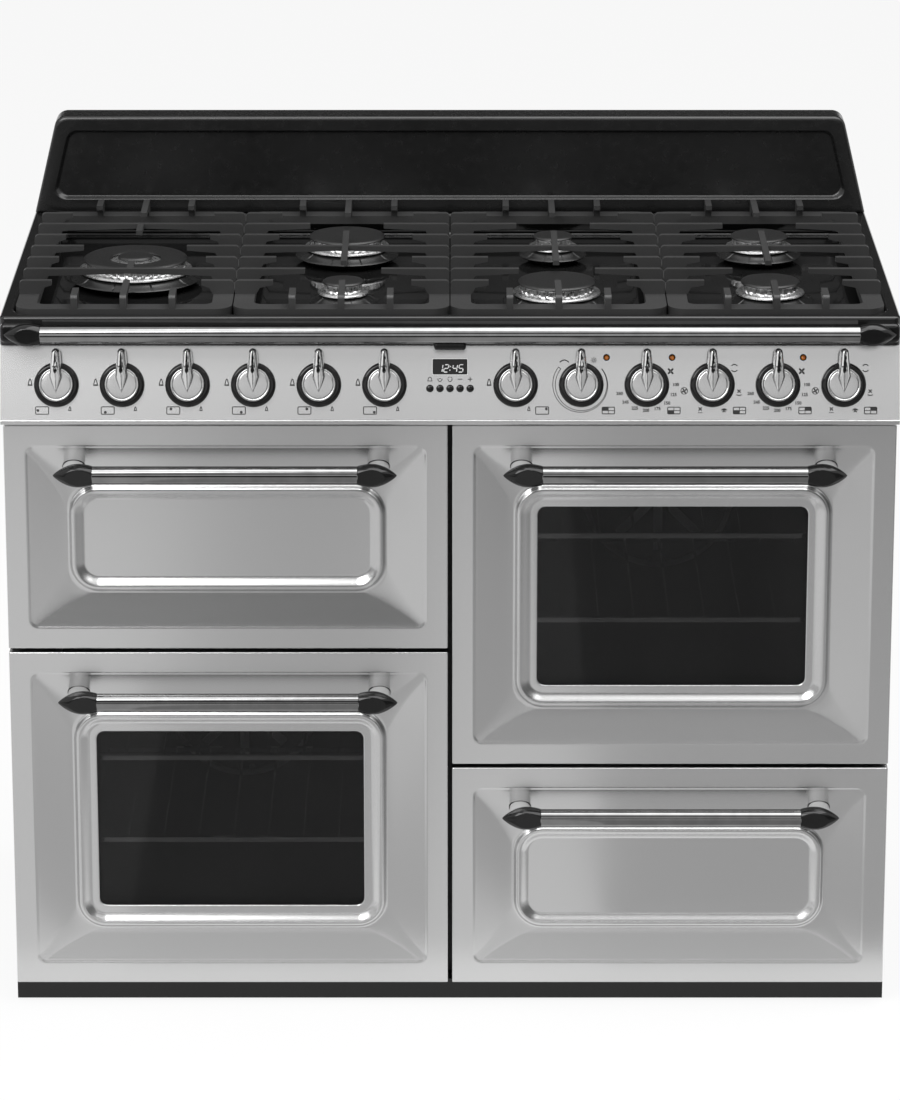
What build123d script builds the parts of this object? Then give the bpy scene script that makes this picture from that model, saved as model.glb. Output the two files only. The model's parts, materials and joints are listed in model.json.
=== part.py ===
from build123d import *
import os
from math import atan2, cos, hypot, sin

os.makedirs("parts", exist_ok=True)

# A dual fuel range cooker: gas hob, grill, two electric ovens and a storage drawer.
# Millimetres. X runs to the right, Y to the back, Z up. The origin is on the floor,
# under the middle of the cooker with its handles.

# Overall size
width = 1100
body_depth = 600
hob_height = 900
handle_reach = 50
front = handle_reach - (body_depth + handle_reach) / 2
back = front + body_depth

# Carcass
sheet = 1.5
carcass_sheet = 2
foot_height = 30
foot_radius = 20
foot_pad = 10
foot_stem = 6
foot_inset = 70
plinth_setback = 18
plinth_gap = 2
plinth_lift = 2
rear_space = 20
frame_rise = 12

# Doors and drawer
door_reveal = 1.5
door_gap = 5
tall_door = 440
low_door = 288
door_depth = 40
frame_gap = 3
skin_depth = 32
door_bevel = 1.2
door_width = (width - 2 * door_reveal - door_gap) / 2
door_x = (door_width + door_gap) / 2
door_foot = foot_height
frame_y = front + door_depth + frame_gap
back_plate_y = back - rear_space - carcass_sheet

# Pressing of the fronts
border = 28
border_radius = 12
border_step = 1.5
slope_inset = 4
recess_depth = 12
bead_side = 78
bead_top = 80
bead_bottom = 72
bead_width = 19
bead_height = 7
bead_round = 6
bead_radius = 36
bead_inner_radius = bead_radius - bead_width
bead_rise = (bead_bottom - bead_top) / 2
window_margin = 9
window_radius = 10
glass_lap = 8
glass_thickness = 5

# Door liners and hinges
liner_sheet = 2
liner_depth = 18
hinge_in = 8
hinge_inset = 60
pin_radius = 3
running_clearance = 0.05
lug_radius = 6
lug_thickness = 8
hinge_room = 0.5
notch_relief = 1
notch_half = lug_thickness / 2 + notch_relief
cheek = 6
cheek_reach = 16

# Handles
bar_radius = 11.5
bar_length = 325
cap_length = 48
cap_radius = 14.5
cap_belly = 17
handle_drop = 54
post_width = 26
post_height = 16
post_inset = 10

# Cavities, racks and heaters
cavity_width = 460
oven_height = 330
grill_height = 200
cavity_depth = 430
ledge_width = 12
ledge_thickness = 3
rack_clearance = 3
rack_bar = 6
rack_wire = 2
rack_wires = 9
tray_depth = 30
element_radius = 4
ring_radius = 95
fan_radius = 75
fan_blades = 8

# Drawer
tub_width = 464
tub_height = 170
tub_depth = 460
tub_lift = 45
slide_bar = 6
runner_height = 90
runner_width = 16
runner_thickness = 8
runner_clearance = 0.3
drawer_room = 13
runner_side_gap = 1

# Control panel
panel_low = 774
panel_top = 864
panel_lean = 27
panel_ahead = 15
lip_height = 6
knob_count = 12
knob_margin = 68.8
knob_pitch = (width - 2 * knob_margin) / knob_count
knob_row = -4
lamp_row = 29.4
display_row = 18
button_row = -8
button_pitch = 12.3
button_radius = 4.7
button_travel = 2
button_proud = 1.5
display_width = 42
display_height = 19
lamp_radius = 3.5
lamp_steps = (2, 3, 5)
lamp_side = 31

# Knobs
bezel_radius = 27.5
bezel_height = 8
bezel_floor = 2
disc_radius = 20.75
disc_gap = 0.75
disc_top = 12
shaft_radius = 4
bush_radius = 8
bush_length = 14
lever_tip = 44
lever_tail = 10
lever_tip_radius = 5.5
lever_half_width = 8.25
lever_wide_at = 9.5
lever_low = 9
lever_high = 27
tap_size = 24
tap_length = 30
gas_rail_radius = 8
switch_radius = 15
switch_length = 26
inlet_radius = 10.5
inlet_thread = rear_space
wall_spacing = 800
wall_drop = 24
wall_hole = 4

# Rail along the hob front
rail_radius = 11
rail_z = 882
rail_out = 18
rail_inset = 51
rail_half = width / 2 - rail_inset
rail_cap_length = 44
rail_cap_radius = 13.2
rail_post_inset = 2
corner_block = 14
corner_height = 12
bracket_width = 39
bracket_height = 9

# Hob and splashback
rim = 15
well_depth = 28
hob_skirt = 36
well_radius = 30
splash_thickness = 43
splash_height = 130
splash_inset = 1
splash_taper = 31
splash_radius = 14
splash_border = 18
splash_recess = 6

# Burners: places across and along the hob, cap radius
hob_zones = 4
zone_margin = 17
burner_pitch = (width - 2 * zone_margin) / hob_zones
burner_rows = (160, 404)
wok_row = 282
base_height = 18
head_height = 13
cap_height = 5
small_cap = 26
medium_cap = 37
large_cap = 49
wok_cap = 66
wok_hole = 32
wok_inner_cap = 23
head_reach = 6
base_reach = 18
spigot_length = 25
spigot_ratio = 0.7
base_edge = 2
base_shoulder = 3
head_flange = 4
head_edge = 2
cap_edge = 1.5

# Pan stands
stand_gap = 1.5
stand_width = burner_pitch - stand_gap
stand_room = 6
stand_bar = 25
stand_bar_top = 5
stand_bar_thickness = 11
stand_top = 22
stand_radius = 22
leg_size = 16
finger_thickness = 8
finger_pitch = 61
finger_depth = 6
shoulder_depth = 9
shoulder_reach = 6
finger_round = 5
stub_reach = 82
end_finger_pitch = 60
finger_root = 2
side_finger = 47
long_finger = 85
wok_finger = 40
wok_middle_finger = 67
end_finger = 40
end_middle_finger = 80


def facing(y, x=0, z=0):
    """A sketch plane at depth y that looks to the front, with its middle at x, z."""
    return Plane(origin=(x, y, z), x_dir=(1, 0, 0), z_dir=(0, -1, 0))


def level(z, x=0, y=0):
    """A level sketch plane at height z, with its middle at x, y."""
    return Plane(origin=(x, y, z), x_dir=(1, 0, 0), z_dir=(0, 0, 1))


def across(x):
    """A sketch plane across the width at x: its first axis is Y and its second is Z."""
    return Plane(origin=(x, 0, 0), x_dir=(0, 1, 0), z_dir=(1, 0, 0))


def patch(x0, x1, y0, y1, mode=Mode.ADD):
    """A rectangle between two corners in the current sketch."""
    with Locations(((x0 + x1) / 2, (y0 + y1) / 2)):
        Rectangle(x1 - x0, y1 - y0, mode=mode)


def block(x0, x1, y0, y1, z0, z1, mode=Mode.ADD):
    """A box between two corners in the current part."""
    with Locations(((x0 + x1) / 2, (y0 + y1) / 2, (z0 + z1) / 2)):
        Box(x1 - x0, y1 - y0, z1 - z0, mode=mode)


def bent_sheet(points, thickness):
    """The closed outline of a folded sheet: a path and its mitred offset to the left."""
    offset_points = []
    for i, (a, b) in enumerate(points):
        turns = []
        for start, end in ((i - 1, i), (i, i + 1)):
            if start >= 0 and end < len(points):
                run = (points[end][0] - points[start][0], points[end][1] - points[start][1])
                size = hypot(*run)
                turns.append((-run[1] / size, run[0] / size))
        n = (sum(t[0] for t in turns) / len(turns), sum(t[1] for t in turns) / len(turns))
        stretch = thickness / (n[0] ** 2 + n[1] ** 2)
        offset_points.append((a + n[0] * stretch, b + n[1] * stretch))
    return list(points) + offset_points[::-1]


def save(builder, name):
    """Label a finished piece and write it."""
    builder.part.label = name
    export_step(builder.part, f"parts/{name}.step")


# Fronts: name, middle across, bottom edge, height, hinged side and whether it has a window
drawer_z = door_foot
right_oven_z = drawer_z + low_door + door_gap
left_oven_z = door_foot
grill_z = left_oven_z + tall_door + door_gap
fronts = {
    "grill_door": (-door_x, grill_z, low_door, "bottom", False),
    "left_oven_door": (-door_x, left_oven_z, tall_door, "left", True),
    "right_oven_door": (door_x, right_oven_z, tall_door, "right", True),
    "drawer": (door_x, drawer_z, low_door, None, False),
}
bead_outer = door_width - 2 * bead_side
slope_start = border + slope_inset


def bead_tall(height):
    """Height of the bead box on a front."""
    return height - bead_top - bead_bottom


def pressed_form(x, z, height, inset):
    """The outside of a pressed front, drawn in by inset on every side."""
    with BuildPart() as form:
        with BuildSketch(facing(front + inset, x, z)):
            Rectangle(door_width - 2 * inset, height - 2 * inset)
        extrude(amount=-(skin_depth - inset))
        chamfer(form.faces().sort_by(Axis.Y)[0].edges(), door_bevel)
        with BuildSketch(facing(front + inset, x, z)):
            pocket = 2 * (border - inset)
            RectangleRounded(door_width - pocket, height - pocket, border_radius + inset)
        extrude(amount=-border_step, mode=Mode.SUBTRACT)
        with BuildSketch(facing(front + inset + border_step, x, z)):
            Rectangle(door_width - 2 * slope_start, height - 2 * slope_start)
        with BuildSketch(facing(front + inset + recess_depth, x, z + bead_rise)):
            Rectangle(bead_outer, bead_tall(height))
        loft(ruled=True, mode=Mode.SUBTRACT)
    return form.part


def hinge_planes(x, z, height, side):
    """Planes across the two hinges of a door: x points into the door, y to the back."""
    if side is None:
        return []
    y = front + hinge_in
    if side == "bottom":
        places = [(x + s * (door_width / 2 - hinge_inset), y, z - height / 2 + hinge_in) for s in (-1, 1)]
        return [Plane(origin=p, x_dir=(0, 0, 1), z_dir=(-1, 0, 0)) for p in places]
    s = -1 if side == "left" else 1
    across_door = x + s * (door_width / 2 - hinge_in)
    places = [(across_door, y, z + up * (height / 2 - hinge_inset)) for up in (-1, 1)]
    return [Plane(origin=p, x_dir=(-s, 0, 0), z_dir=(0, 0, -s)) for p in places]


def hinge_notch(plane):
    """Room for a hinge lug in the edge of a door, all the way through its swing."""
    with BuildSketch(plane) as outline:
        patch(-hinge_in - notch_relief, lug_radius + hinge_room, sheet - hinge_in,
              door_depth - hinge_in + notch_relief)
    extrude(outline.sketch, amount=notch_half, both=True, mode=Mode.SUBTRACT)


def window_patch(height, grow=0):
    """The outline of a door window, or of a pane that laps round it by grow."""
    inset = 2 * (bead_width + window_margin - grow)
    RectangleRounded(bead_outer - inset, bead_tall(height) - inset, window_radius + grow)


def door_skin(x, z, height, side, window):
    """The pressed steel skin of a front, with its bead, window and hinge notches."""
    bead_y = front + recess_depth
    with BuildPart() as skin:
        add(pressed_form(x, z, height, 0))
        add(pressed_form(x, z, height, sheet), mode=Mode.SUBTRACT)
        with BuildSketch(facing(bead_y, x, z + bead_rise)):
            RectangleRounded(bead_outer, bead_tall(height), bead_radius)
            RectangleRounded(bead_outer - 2 * bead_width, bead_tall(height) - 2 * bead_width,
                             bead_inner_radius, mode=Mode.SUBTRACT)
        extrude(amount=bead_height)
        crown = bead_y - bead_height
        fillet(skin.faces().filter_by_position(Axis.Y, crown - 0.1, crown + 0.1).edges(), bead_round)
        if window:
            with BuildSketch(facing(bead_y, x, z + bead_rise)):
                window_patch(height)
            extrude(amount=-2 * sheet, mode=Mode.SUBTRACT)
        for plane in hinge_planes(x, z, height, side):
            hinge_notch(plane)
    return skin


def door_liner(x, z, height, side, window):
    """The pan that closes a door at the back, with its hinge cheeks and pins."""
    rear = front + door_depth
    wide = door_width - 2 * sheet
    tall = height - 2 * sheet
    planes = hinge_planes(x, z, height, side)
    with BuildPart() as liner:
        with BuildSketch(facing(rear, x, z)):
            Rectangle(wide, tall)
        extrude(amount=liner_depth)
        with BuildSketch(facing(rear - liner_sheet, x, z)):
            Rectangle(wide - 2 * liner_sheet, tall - 2 * liner_sheet)
        extrude(amount=liner_depth, mode=Mode.SUBTRACT)
        if window:
            with BuildSketch(facing(rear, x, z + bead_rise)):
                window_patch(height)
            extrude(amount=liner_sheet, mode=Mode.SUBTRACT)
        for plane in planes:
            with BuildSketch(plane):
                patch(sheet - hinge_in, cheek_reach, 2 * sheet - hinge_in, door_depth - hinge_in)
            extrude(amount=notch_half + cheek, both=True)
            hinge_notch(plane)
            with BuildSketch(plane):
                Circle(pin_radius)
            extrude(amount=notch_half + cheek / 2, both=True)
    return liner


def door_panes(x, z, height):
    """The outer and the inner window pane, each seated against its sheet."""
    outer_y = front + recess_depth + sheet
    inner_y = front + door_depth - liner_sheet - glass_thickness
    with BuildPart() as panes:
        for y in (outer_y, inner_y):
            with BuildSketch(facing(y, x, z + bead_rise)):
                window_patch(height, glass_lap)
            extrude(amount=-glass_thickness)
    return panes


def end_cap(x, y, z, side, length, radius, belly):
    """A black spindle at one end of a bar: round at the bar, fuller behind it, pointed outside."""
    with BuildSketch(Plane(origin=(x, y, z), x_dir=(side, 0, 0), z_dir=(0, -side, 0))) as profile:
        with BuildLine():
            Line((0, 0), (0, radius))
            ThreePointArc((0, radius), (cap_belly, belly), (length, 0))
            Line((length, 0), (0, 0))
        make_face()
    revolve(profile.sketch, axis=Axis((x, y, z), (1, 0, 0)))


bar_y = front - handle_reach + cap_radius


def handle_bar(x, z):
    """The chrome bar of a handle."""
    with BuildPart() as bar:
        with BuildSketch(across(x - bar_length / 2)):
            with Locations((bar_y, z)):
                Circle(bar_radius)
        extrude(amount=bar_length)
    return bar


def handle_ends(x, z, form):
    """The two end caps of a handle, each with the post that carries it on the pressed front."""
    with BuildPart() as ends:
        for side in (-1, 1):
            place = x + side * bar_length / 2
            end_cap(place, bar_y, z, side, cap_length, bar_radius, cap_radius)
            inside, outside = sorted(place + side * edge for edge in (post_inset, post_inset + post_width))
            block(inside, outside, bar_y, front + recess_depth, z - post_height / 2, z + post_height / 2)
        add(form, mode=Mode.SUBTRACT)
    return ends


for name, (x, bottom, height, side, window) in fronts.items():
    z = bottom + height / 2
    handle_z = bottom + height - handle_drop
    shell = "drawer_front" if name == "drawer" else f"{name}_skin"
    save(door_skin(x, z, height, side, window), shell)
    save(handle_bar(x, handle_z), f"{name}_handle_bar")
    save(handle_ends(x, handle_z, pressed_form(x, z, height, 0)), f"{name}_handle_ends")
    if side:
        save(door_liner(x, z, height, side, window), f"{name}_liner")
    if window:
        save(door_panes(x, z, height), f"{name}_glass")

# Hinge lugs, bolted to the front frame, and the two drawer runners
runner_top = drawer_z + runner_height
with BuildPart() as hinges:
    for x, bottom, height, side, window in fronts.values():
        for plane in hinge_planes(x, bottom + height / 2, height, side):
            with BuildSketch(plane):
                Circle(lug_radius)
                patch(-lug_radius, lug_radius, 0, frame_y - front - hinge_in)
                Circle(pin_radius + running_clearance, mode=Mode.SUBTRACT)
            extrude(amount=lug_thickness / 2, both=True)
    for side in (-1, 1):
        gap = tub_width / 2 + runner_side_gap
        inside, outside = sorted(door_x + side * edge for edge in (gap, gap + runner_width))
        block(inside, outside, frame_y + carcass_sheet, back_plate_y,
              runner_top - runner_thickness, runner_top)
save(hinges, "hinges_and_runners")

# Drawer tub with its front plate and its two slide bars
tub_front = front + skin_depth
tub_floor = drawer_z + tub_lift
with BuildPart() as tub:
    with BuildSketch(facing(tub_front, door_x, drawer_z + low_door / 2)):
        Rectangle(door_width - 2 * sheet, low_door - 2 * sheet)
    extrude(amount=-carcass_sheet)
    tub_back = tub_front + carcass_sheet + tub_depth
    half = tub_width / 2
    block(door_x - half, door_x + half, tub_front, tub_back, tub_floor, tub_floor + tub_height)
    block(door_x - half + carcass_sheet, door_x + half - carcass_sheet, tub_front + carcass_sheet,
          tub_back - carcass_sheet, tub_floor + carcass_sheet, tub_floor + tub_height, mode=Mode.SUBTRACT)
    bar_low = runner_top + runner_clearance
    for side in (-1, 1):
        inside, outside = sorted(door_x + side * (half + edge) for edge in (0, slide_bar))
        block(inside, outside, tub_front + carcass_sheet, tub_back, bar_low, bar_low + slide_bar)
save(tub, "drawer_tub")

# Cavities: middle across, middle height, height
cavities = {
    "grill": (-door_x, grill_z + low_door / 2, grill_height),
    "left_oven": (-door_x, left_oven_z + tall_door / 2, oven_height),
    "right_oven": (door_x, right_oven_z + tall_door / 2, oven_height),
}
cavity_back = frame_y + cavity_depth
inner_half = cavity_width / 2 - carcass_sheet


def ledge_heights(z, height):
    """Upper faces of the shelf ledges in a cavity."""
    if height == grill_height:
        return [z - height / 8]
    return [z - height / 6, z + height / 6]


for name, (x, z, height) in cavities.items():
    with BuildPart() as cavity:
        half = cavity_width / 2
        block(x - half, x + half, frame_y, cavity_back, z - height / 2, z + height / 2)
        block(x - inner_half, x + inner_half, frame_y, cavity_back - carcass_sheet,
              z - height / 2 + carcass_sheet, z + height / 2 - carcass_sheet, mode=Mode.SUBTRACT)
        for top in ledge_heights(z, height):
            for side in (-1, 1):
                inside, outside = sorted(x + side * (inner_half - edge) for edge in (0, ledge_width))
                block(inside, outside, frame_y + ledge_width, cavity_back - carcass_sheet,
                      top - ledge_thickness, top)
    save(cavity, f"{name}_cavity")

# Racks in the ovens and the grill pan, on their ledges
rack_half = inner_half - rack_clearance
rack_front = frame_y + 2 * ledge_width
rack_back = cavity_back - carcass_sheet - ring_radius / 2 - rack_clearance
with BuildPart() as racks:
    for name, (x, z, height) in cavities.items():
        for top in ledge_heights(z, height):
            if name == "grill":
                block(x - rack_half, x + rack_half, rack_front, rack_back, top, top + tray_depth)
                block(x - rack_half + sheet, x + rack_half - sheet, rack_front + sheet, rack_back - sheet,
                      top + sheet, top + tray_depth, mode=Mode.SUBTRACT)
                continue
            block(x - rack_half, x + rack_half, rack_front, rack_back, top, top + rack_bar)
            block(x - rack_half + rack_bar, x + rack_half - rack_bar, rack_front + rack_bar,
                  rack_back - rack_bar, top, top + rack_bar, mode=Mode.SUBTRACT)
            wire_run = rack_back - rack_front - rack_bar
            with BuildSketch(facing(rack_front + rack_bar / 2, x, top + rack_bar / 2)):
                with GridLocations(2 * rack_half / (rack_wires + 1), 1, rack_wires, 1):
                    Circle(rack_wire)
            extrude(amount=-wire_run)
save(racks, "racks_and_grill_pan")

# Grill element under its roof; ring element and fan on the back wall of each oven
wall = cavity_back - carcass_sheet
with BuildPart() as heaters:
    x, z, height = cavities["grill"]
    roof = z + height / 2 - carcass_sheet - 4 * element_radius
    span = inner_half / 4
    near = frame_y + 4 * span / 2
    far = wall - span
    loops = [(-3, wall), (-3, near), (-1, near), (-1, far), (1, far), (1, near), (3, near), (3, wall)]
    with BuildLine() as path:
        FilletPolyline(*[(x + step * span, y, roof) for step, y in loops], radius=span / 2)
    with BuildSketch(facing(wall, x - 3 * span, roof)):
        Circle(element_radius)
    sweep(path=path.wires()[0])
    for name in ("left_oven", "right_oven"):
        x, z, height = cavities[name]
        ring_y = wall - 6 * element_radius
        with BuildSketch(across(x)):
            with Locations((ring_y, z + ring_radius)):
                Circle(element_radius)
        revolve(axis=Axis((x, ring_y, z), (0, 1, 0)))
        with BuildSketch(facing(wall, x, z - ring_radius)):
            with GridLocations(4 * element_radius, 1, 2, 1):
                Circle(element_radius)
        extrude(amount=wall - ring_y)
        with BuildSketch(facing(wall, x, z)):
            Circle(2 * element_radius)
        extrude(amount=wall - ring_y)
        with BuildSketch(facing(ring_y, x, z)):
            Circle(4 * element_radius)
            with PolarLocations(fan_radius / 2 + element_radius, fan_blades):
                Rectangle(fan_radius - 2 * element_radius, 3 * element_radius)
        extrude(amount=-sheet)
save(heaters, "heaters_and_fans")

# Chassis: base, back, partition and the front frame that carries the cavities
half_width = width / 2
inside_half = half_width - carcass_sheet
frame_top = panel_low - lip_height + frame_rise
wall_z = panel_top - wall_drop
tilt = atan2(panel_lean, panel_top - panel_low)
panel_y = front - panel_ahead + panel_lean / 2
panel_z = (panel_low + panel_top) / 2


def panel_spot(x, row):
    """A plane on the sloped face of the control panel: its second axis runs up the slope."""
    origin = (x, panel_y + row * sin(tilt), panel_z + row * cos(tilt))
    return Plane(origin=origin, x_dir=(1, 0, 0), z_dir=(0, -cos(tilt), sin(tilt)))


gas_rail = panel_spot(0, knob_row).offset(-(bush_length + tap_length + gas_rail_radius / 2)).origin
inlet_x = -half_width + 3 * gas_rail_radius + carcass_sheet

with BuildPart() as chassis:
    block(-inside_half, inside_half, frame_y, back_plate_y, foot_height, foot_height + carcass_sheet)
    block(-inside_half, inside_half, frame_y, frame_y + carcass_sheet, foot_height, frame_top)
    block(-inside_half, inside_half, back_plate_y, back_plate_y + carcass_sheet, foot_height, panel_top)
    block(-carcass_sheet / 2, carcass_sheet / 2, frame_y, back_plate_y, foot_height, frame_top)
    for x, z, height in cavities.values():
        with BuildSketch(facing(frame_y, x, z)):
            Rectangle(cavity_width, height)
        extrude(amount=-carcass_sheet, mode=Mode.SUBTRACT)
    with BuildSketch(facing(frame_y, door_x, tub_floor + tub_height / 2)):
        Rectangle(tub_width + 2 * drawer_room, tub_height + 2 * drawer_room)
    extrude(amount=-carcass_sheet, mode=Mode.SUBTRACT)
    with BuildSketch(facing(back_plate_y)):
        with Locations((inlet_x, gas_rail.Z)):
            Circle(gas_rail_radius + runner_clearance)
        with Locations((-wall_spacing / 2, wall_z), (wall_spacing / 2, wall_z)):
            Circle(wall_hole)
    extrude(amount=-carcass_sheet, mode=Mode.SUBTRACT)
save(chassis, "chassis")

# Side panels
with BuildPart() as sides:
    for side in (-1, 1):
        inside, outside = sorted((side * inside_half, side * half_width))
        block(inside, outside, frame_y, back_plate_y + carcass_sheet, foot_height, panel_top)
save(sides, "side_panels")

# Levelling feet
with BuildPart() as feet:
    for x in (-half_width + foot_inset, half_width - foot_inset):
        for y in (frame_y + foot_inset, back_plate_y - foot_inset):
            with BuildSketch(level(0, x, y)):
                Circle(foot_radius)
            extrude(amount=foot_pad)
            with BuildSketch(level(foot_pad, x, y)):
                Circle(foot_stem)
            extrude(amount=foot_height - foot_pad)
save(feet, "feet")

# Plinth: a folded strip that hooks up behind the front frame
plinth_y = front + plinth_setback
plinth_top = foot_height - plinth_gap
with BuildPart() as plinth:
    folds = [(plinth_y, plinth_lift), (plinth_y, plinth_top), (frame_y + foot_height, plinth_top),
             (frame_y + foot_height, foot_height)]
    with BuildSketch(across(-half_width)):
        with BuildLine():
            Polyline(*bent_sheet(folds, -sheet), close=True)
        make_face()
    extrude(amount=width)
save(plinth, "plinth")

# Control panel: sloped face, lip, returns and closed ends, with the holes for what it carries
knob_places = [side * knob_pitch * step for side in (-1, 1) for step in range(1, knob_count // 2 + 1)]
knob_places.sort()
lamp_places = [knob_pitch * step + lamp_side for step in lamp_steps]
button_places = [button_pitch * step for step in range(-2, 3)]
bush_hole = bush_radius + running_clearance
with BuildPart() as panel:
    folds = [(frame_y, panel_low - lip_height), (front - panel_ahead, panel_low - lip_height),
             (front - panel_ahead, panel_low), (front - panel_ahead + panel_lean, panel_top),
             (frame_y, panel_top)]
    with BuildSketch(across(-half_width)):
        with BuildLine():
            Polyline(*bent_sheet(folds, -sheet), close=True)
        make_face()
    extrude(amount=width)
    for x in (-half_width, half_width - sheet):
        with BuildSketch(across(x)):
            with BuildLine():
                Polyline(*folds, close=True)
            make_face()
        extrude(amount=sheet)
    with BuildSketch(panel_spot(0, 0)):
        with Locations(*[(x, knob_row) for x in knob_places]):
            Circle(bush_hole)
        with Locations(*[(x, lamp_row) for x in lamp_places]):
            Circle(lamp_radius + running_clearance)
        with Locations(*[(x, button_row) for x in button_places]):
            Circle(button_radius + running_clearance)
        with Locations((0, display_row)):
            Rectangle(display_width, display_height)
    extrude(amount=-2 * sheet, mode=Mode.SUBTRACT)
save(panel, "control_panel")

# Timer window and indicator lamps
lens_rim = 1.5
lens_height = 1.2
lens_depth = 8
with BuildPart() as lights:
    with BuildSketch(panel_spot(0, display_row)):
        Rectangle(display_width, display_height)
    extrude(amount=-lens_depth)
    with BuildSketch(panel_spot(0, display_row)):
        RectangleRounded(display_width + 2 * lens_rim, display_height + 2 * lens_rim, lens_rim)
    extrude(amount=lens_height)
    for x in lamp_places:
        with BuildSketch(panel_spot(x, lamp_row)):
            Circle(lamp_radius)
        extrude(amount=-lens_depth)
        with BuildSketch(panel_spot(x, lamp_row)):
            Circle(lamp_radius + lens_rim / 2)
        extrude(amount=lens_height)
save(lights, "panel_lights")

# Timer buttons: domed caps in running holes, each kept in by a collar behind the panel
button_rise = button_travel + button_proud
button_dome = 2.5
collar = 1.3
for number, x in enumerate(button_places, start=1):
    collar_top = panel_spot(x, button_row).offset(-sheet - runner_clearance)
    with BuildPart() as button:
        with BuildSketch(collar_top):
            Circle(button_radius + collar / 2)
        extrude(amount=-collar)
        with BuildSketch(collar_top):
            Circle(button_radius)
        extrude(amount=sheet + runner_clearance + button_rise)
        dome = button.edges().filter_by(GeomType.CIRCLE).sort_by(Axis.Z)[-1]
        fillet(dome, button_dome)
    save(button, f"timer_button_{number}")

# Knob bezels: a ring with a floor and the bush that guides the knob's shaft
bore = shaft_radius + running_clearance
with BuildPart() as bezels:
    for x in knob_places:
        spot = panel_spot(x, knob_row)
        profile = [(bore, -bush_length), (bush_radius, -bush_length), (bush_radius, 0), (bezel_radius, 0),
                   (bezel_radius, bezel_height - bezel_floor), (bezel_radius - bezel_floor, bezel_height),
                   (disc_radius + disc_gap, bezel_height), (disc_radius + disc_gap, bezel_floor),
                   (bore, bezel_floor)]
        with BuildSketch(Plane(origin=spot.origin, x_dir=spot.x_dir, z_dir=-spot.y_dir)):
            with BuildLine():
                Polyline(*profile, close=True)
            make_face()
        revolve(axis=Axis(spot.origin, spot.z_dir))
save(bezels, "knob_bezels")

# Knobs: shaft, disc and lever in one
disc_low = bezel_floor + running_clearance * 10
shaft_end = bush_length + bush_radius
lever_edge = 2.5
disc_edge = 1.5
for number, x in enumerate(knob_places, start=1):
    spot = panel_spot(x, knob_row)
    with BuildPart() as knob:
        with BuildSketch(spot.offset(-shaft_end)):
            Circle(shaft_radius)
        extrude(amount=shaft_end + disc_low)
        with BuildSketch(spot.offset(disc_low)):
            Circle(disc_radius)
        extrude(amount=disc_top - disc_low)
        rim_edge = knob.edges().filter_by(GeomType.CIRCLE).sort_by(SortBy.RADIUS)[-2:]
        chamfer(rim_edge.sort_by(Axis.Z)[-1], disc_edge)
        side_start = lever_tip - lever_tip_radius
        with BuildSketch(spot.offset(lever_low)) as outline:
            with BuildLine():
                ThreePointArc((-lever_tip_radius, side_start), (0, lever_tip), (lever_tip_radius, side_start))
                Polyline((lever_tip_radius, side_start), (lever_half_width, lever_wide_at), (0, -lever_tail),
                         (-lever_half_width, lever_wide_at), (-lever_tip_radius, side_start))
            make_face()
        extrude(amount=lever_high - lever_low)
        crest = knob.faces().filter_by(GeomType.PLANE).sort_by_distance(spot.offset(lever_high).origin)[0]
        chamfer(crest.edges(), lever_edge)
    save(knob, f"knob_{number:02d}")

# Gas taps on their feed rail with the inlet at the back, and the rotary switches of the ovens
gas_knobs = 7
with BuildPart() as taps:
    for number, x in enumerate(knob_places):
        spot = panel_spot(x, knob_row).offset(-bush_length)
        with BuildSketch(spot):
            if number < gas_knobs:
                Rectangle(tap_size, tap_size)
            else:
                Circle(switch_radius)
        extrude(amount=-(tap_length if number < gas_knobs else switch_length))
        with BuildSketch(spot):
            Circle(bore)
        extrude(amount=-bush_length, mode=Mode.SUBTRACT)
    with BuildSketch(across(inlet_x)):
        with Locations((gas_rail.Y, gas_rail.Z)):
            Circle(gas_rail_radius)
    extrude(amount=knob_places[gas_knobs - 1] + tap_size - inlet_x)
    with BuildSketch(facing(gas_rail.Y, inlet_x, gas_rail.Z)):
        Circle(gas_rail_radius)
    extrude(amount=-(back - inlet_thread - gas_rail.Y))
    with BuildSketch(facing(back - inlet_thread, inlet_x, gas_rail.Z)):
        Circle(inlet_radius)
    extrude(amount=-inlet_thread)
save(taps, "taps_and_switches")

# Hob: an enamelled tray with a rim, a sunk well and a hole under each burner
well_front = front + rim
well_back = back - splash_thickness - rim / 3
well_half = half_width - rim
well_y = (well_front + well_back) / 2
well_floor = hob_height - well_depth
burners = [(-1.5, wok_row, wok_cap),
           (-0.5, burner_rows[0], small_cap), (-0.5, burner_rows[1], large_cap),
           (0.5, burner_rows[0], large_cap), (0.5, burner_rows[1], small_cap),
           (1.5, burner_rows[0], medium_cap), (1.5, burner_rows[1], medium_cap)]
burners = [(step * burner_pitch, front + row, cap) for step, row, cap in burners]
with BuildPart() as hob:
    block(-half_width, half_width, front, back, hob_height - hob_skirt, hob_height)
    block(-half_width + sheet, half_width - sheet, front + sheet, back - sheet,
          hob_height - hob_skirt, hob_height - sheet, mode=Mode.SUBTRACT)
    with BuildSketch(level(well_floor - sheet, 0, well_y)):
        RectangleRounded(2 * (well_half + sheet), well_back - well_front + 2 * sheet, well_radius + sheet)
    extrude(amount=well_depth + sheet)
    with BuildSketch(level(well_floor, 0, well_y)):
        RectangleRounded(2 * well_half, well_back - well_front, well_radius)
    extrude(amount=well_depth, mode=Mode.SUBTRACT)
    with BuildSketch(level(well_floor)):
        for x, y, cap in burners:
            with Locations((x, y)):
                Circle(cap * spigot_ratio + runner_clearance)
    extrude(amount=-sheet, mode=Mode.SUBTRACT)
save(hob, "hob_top")


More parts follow.
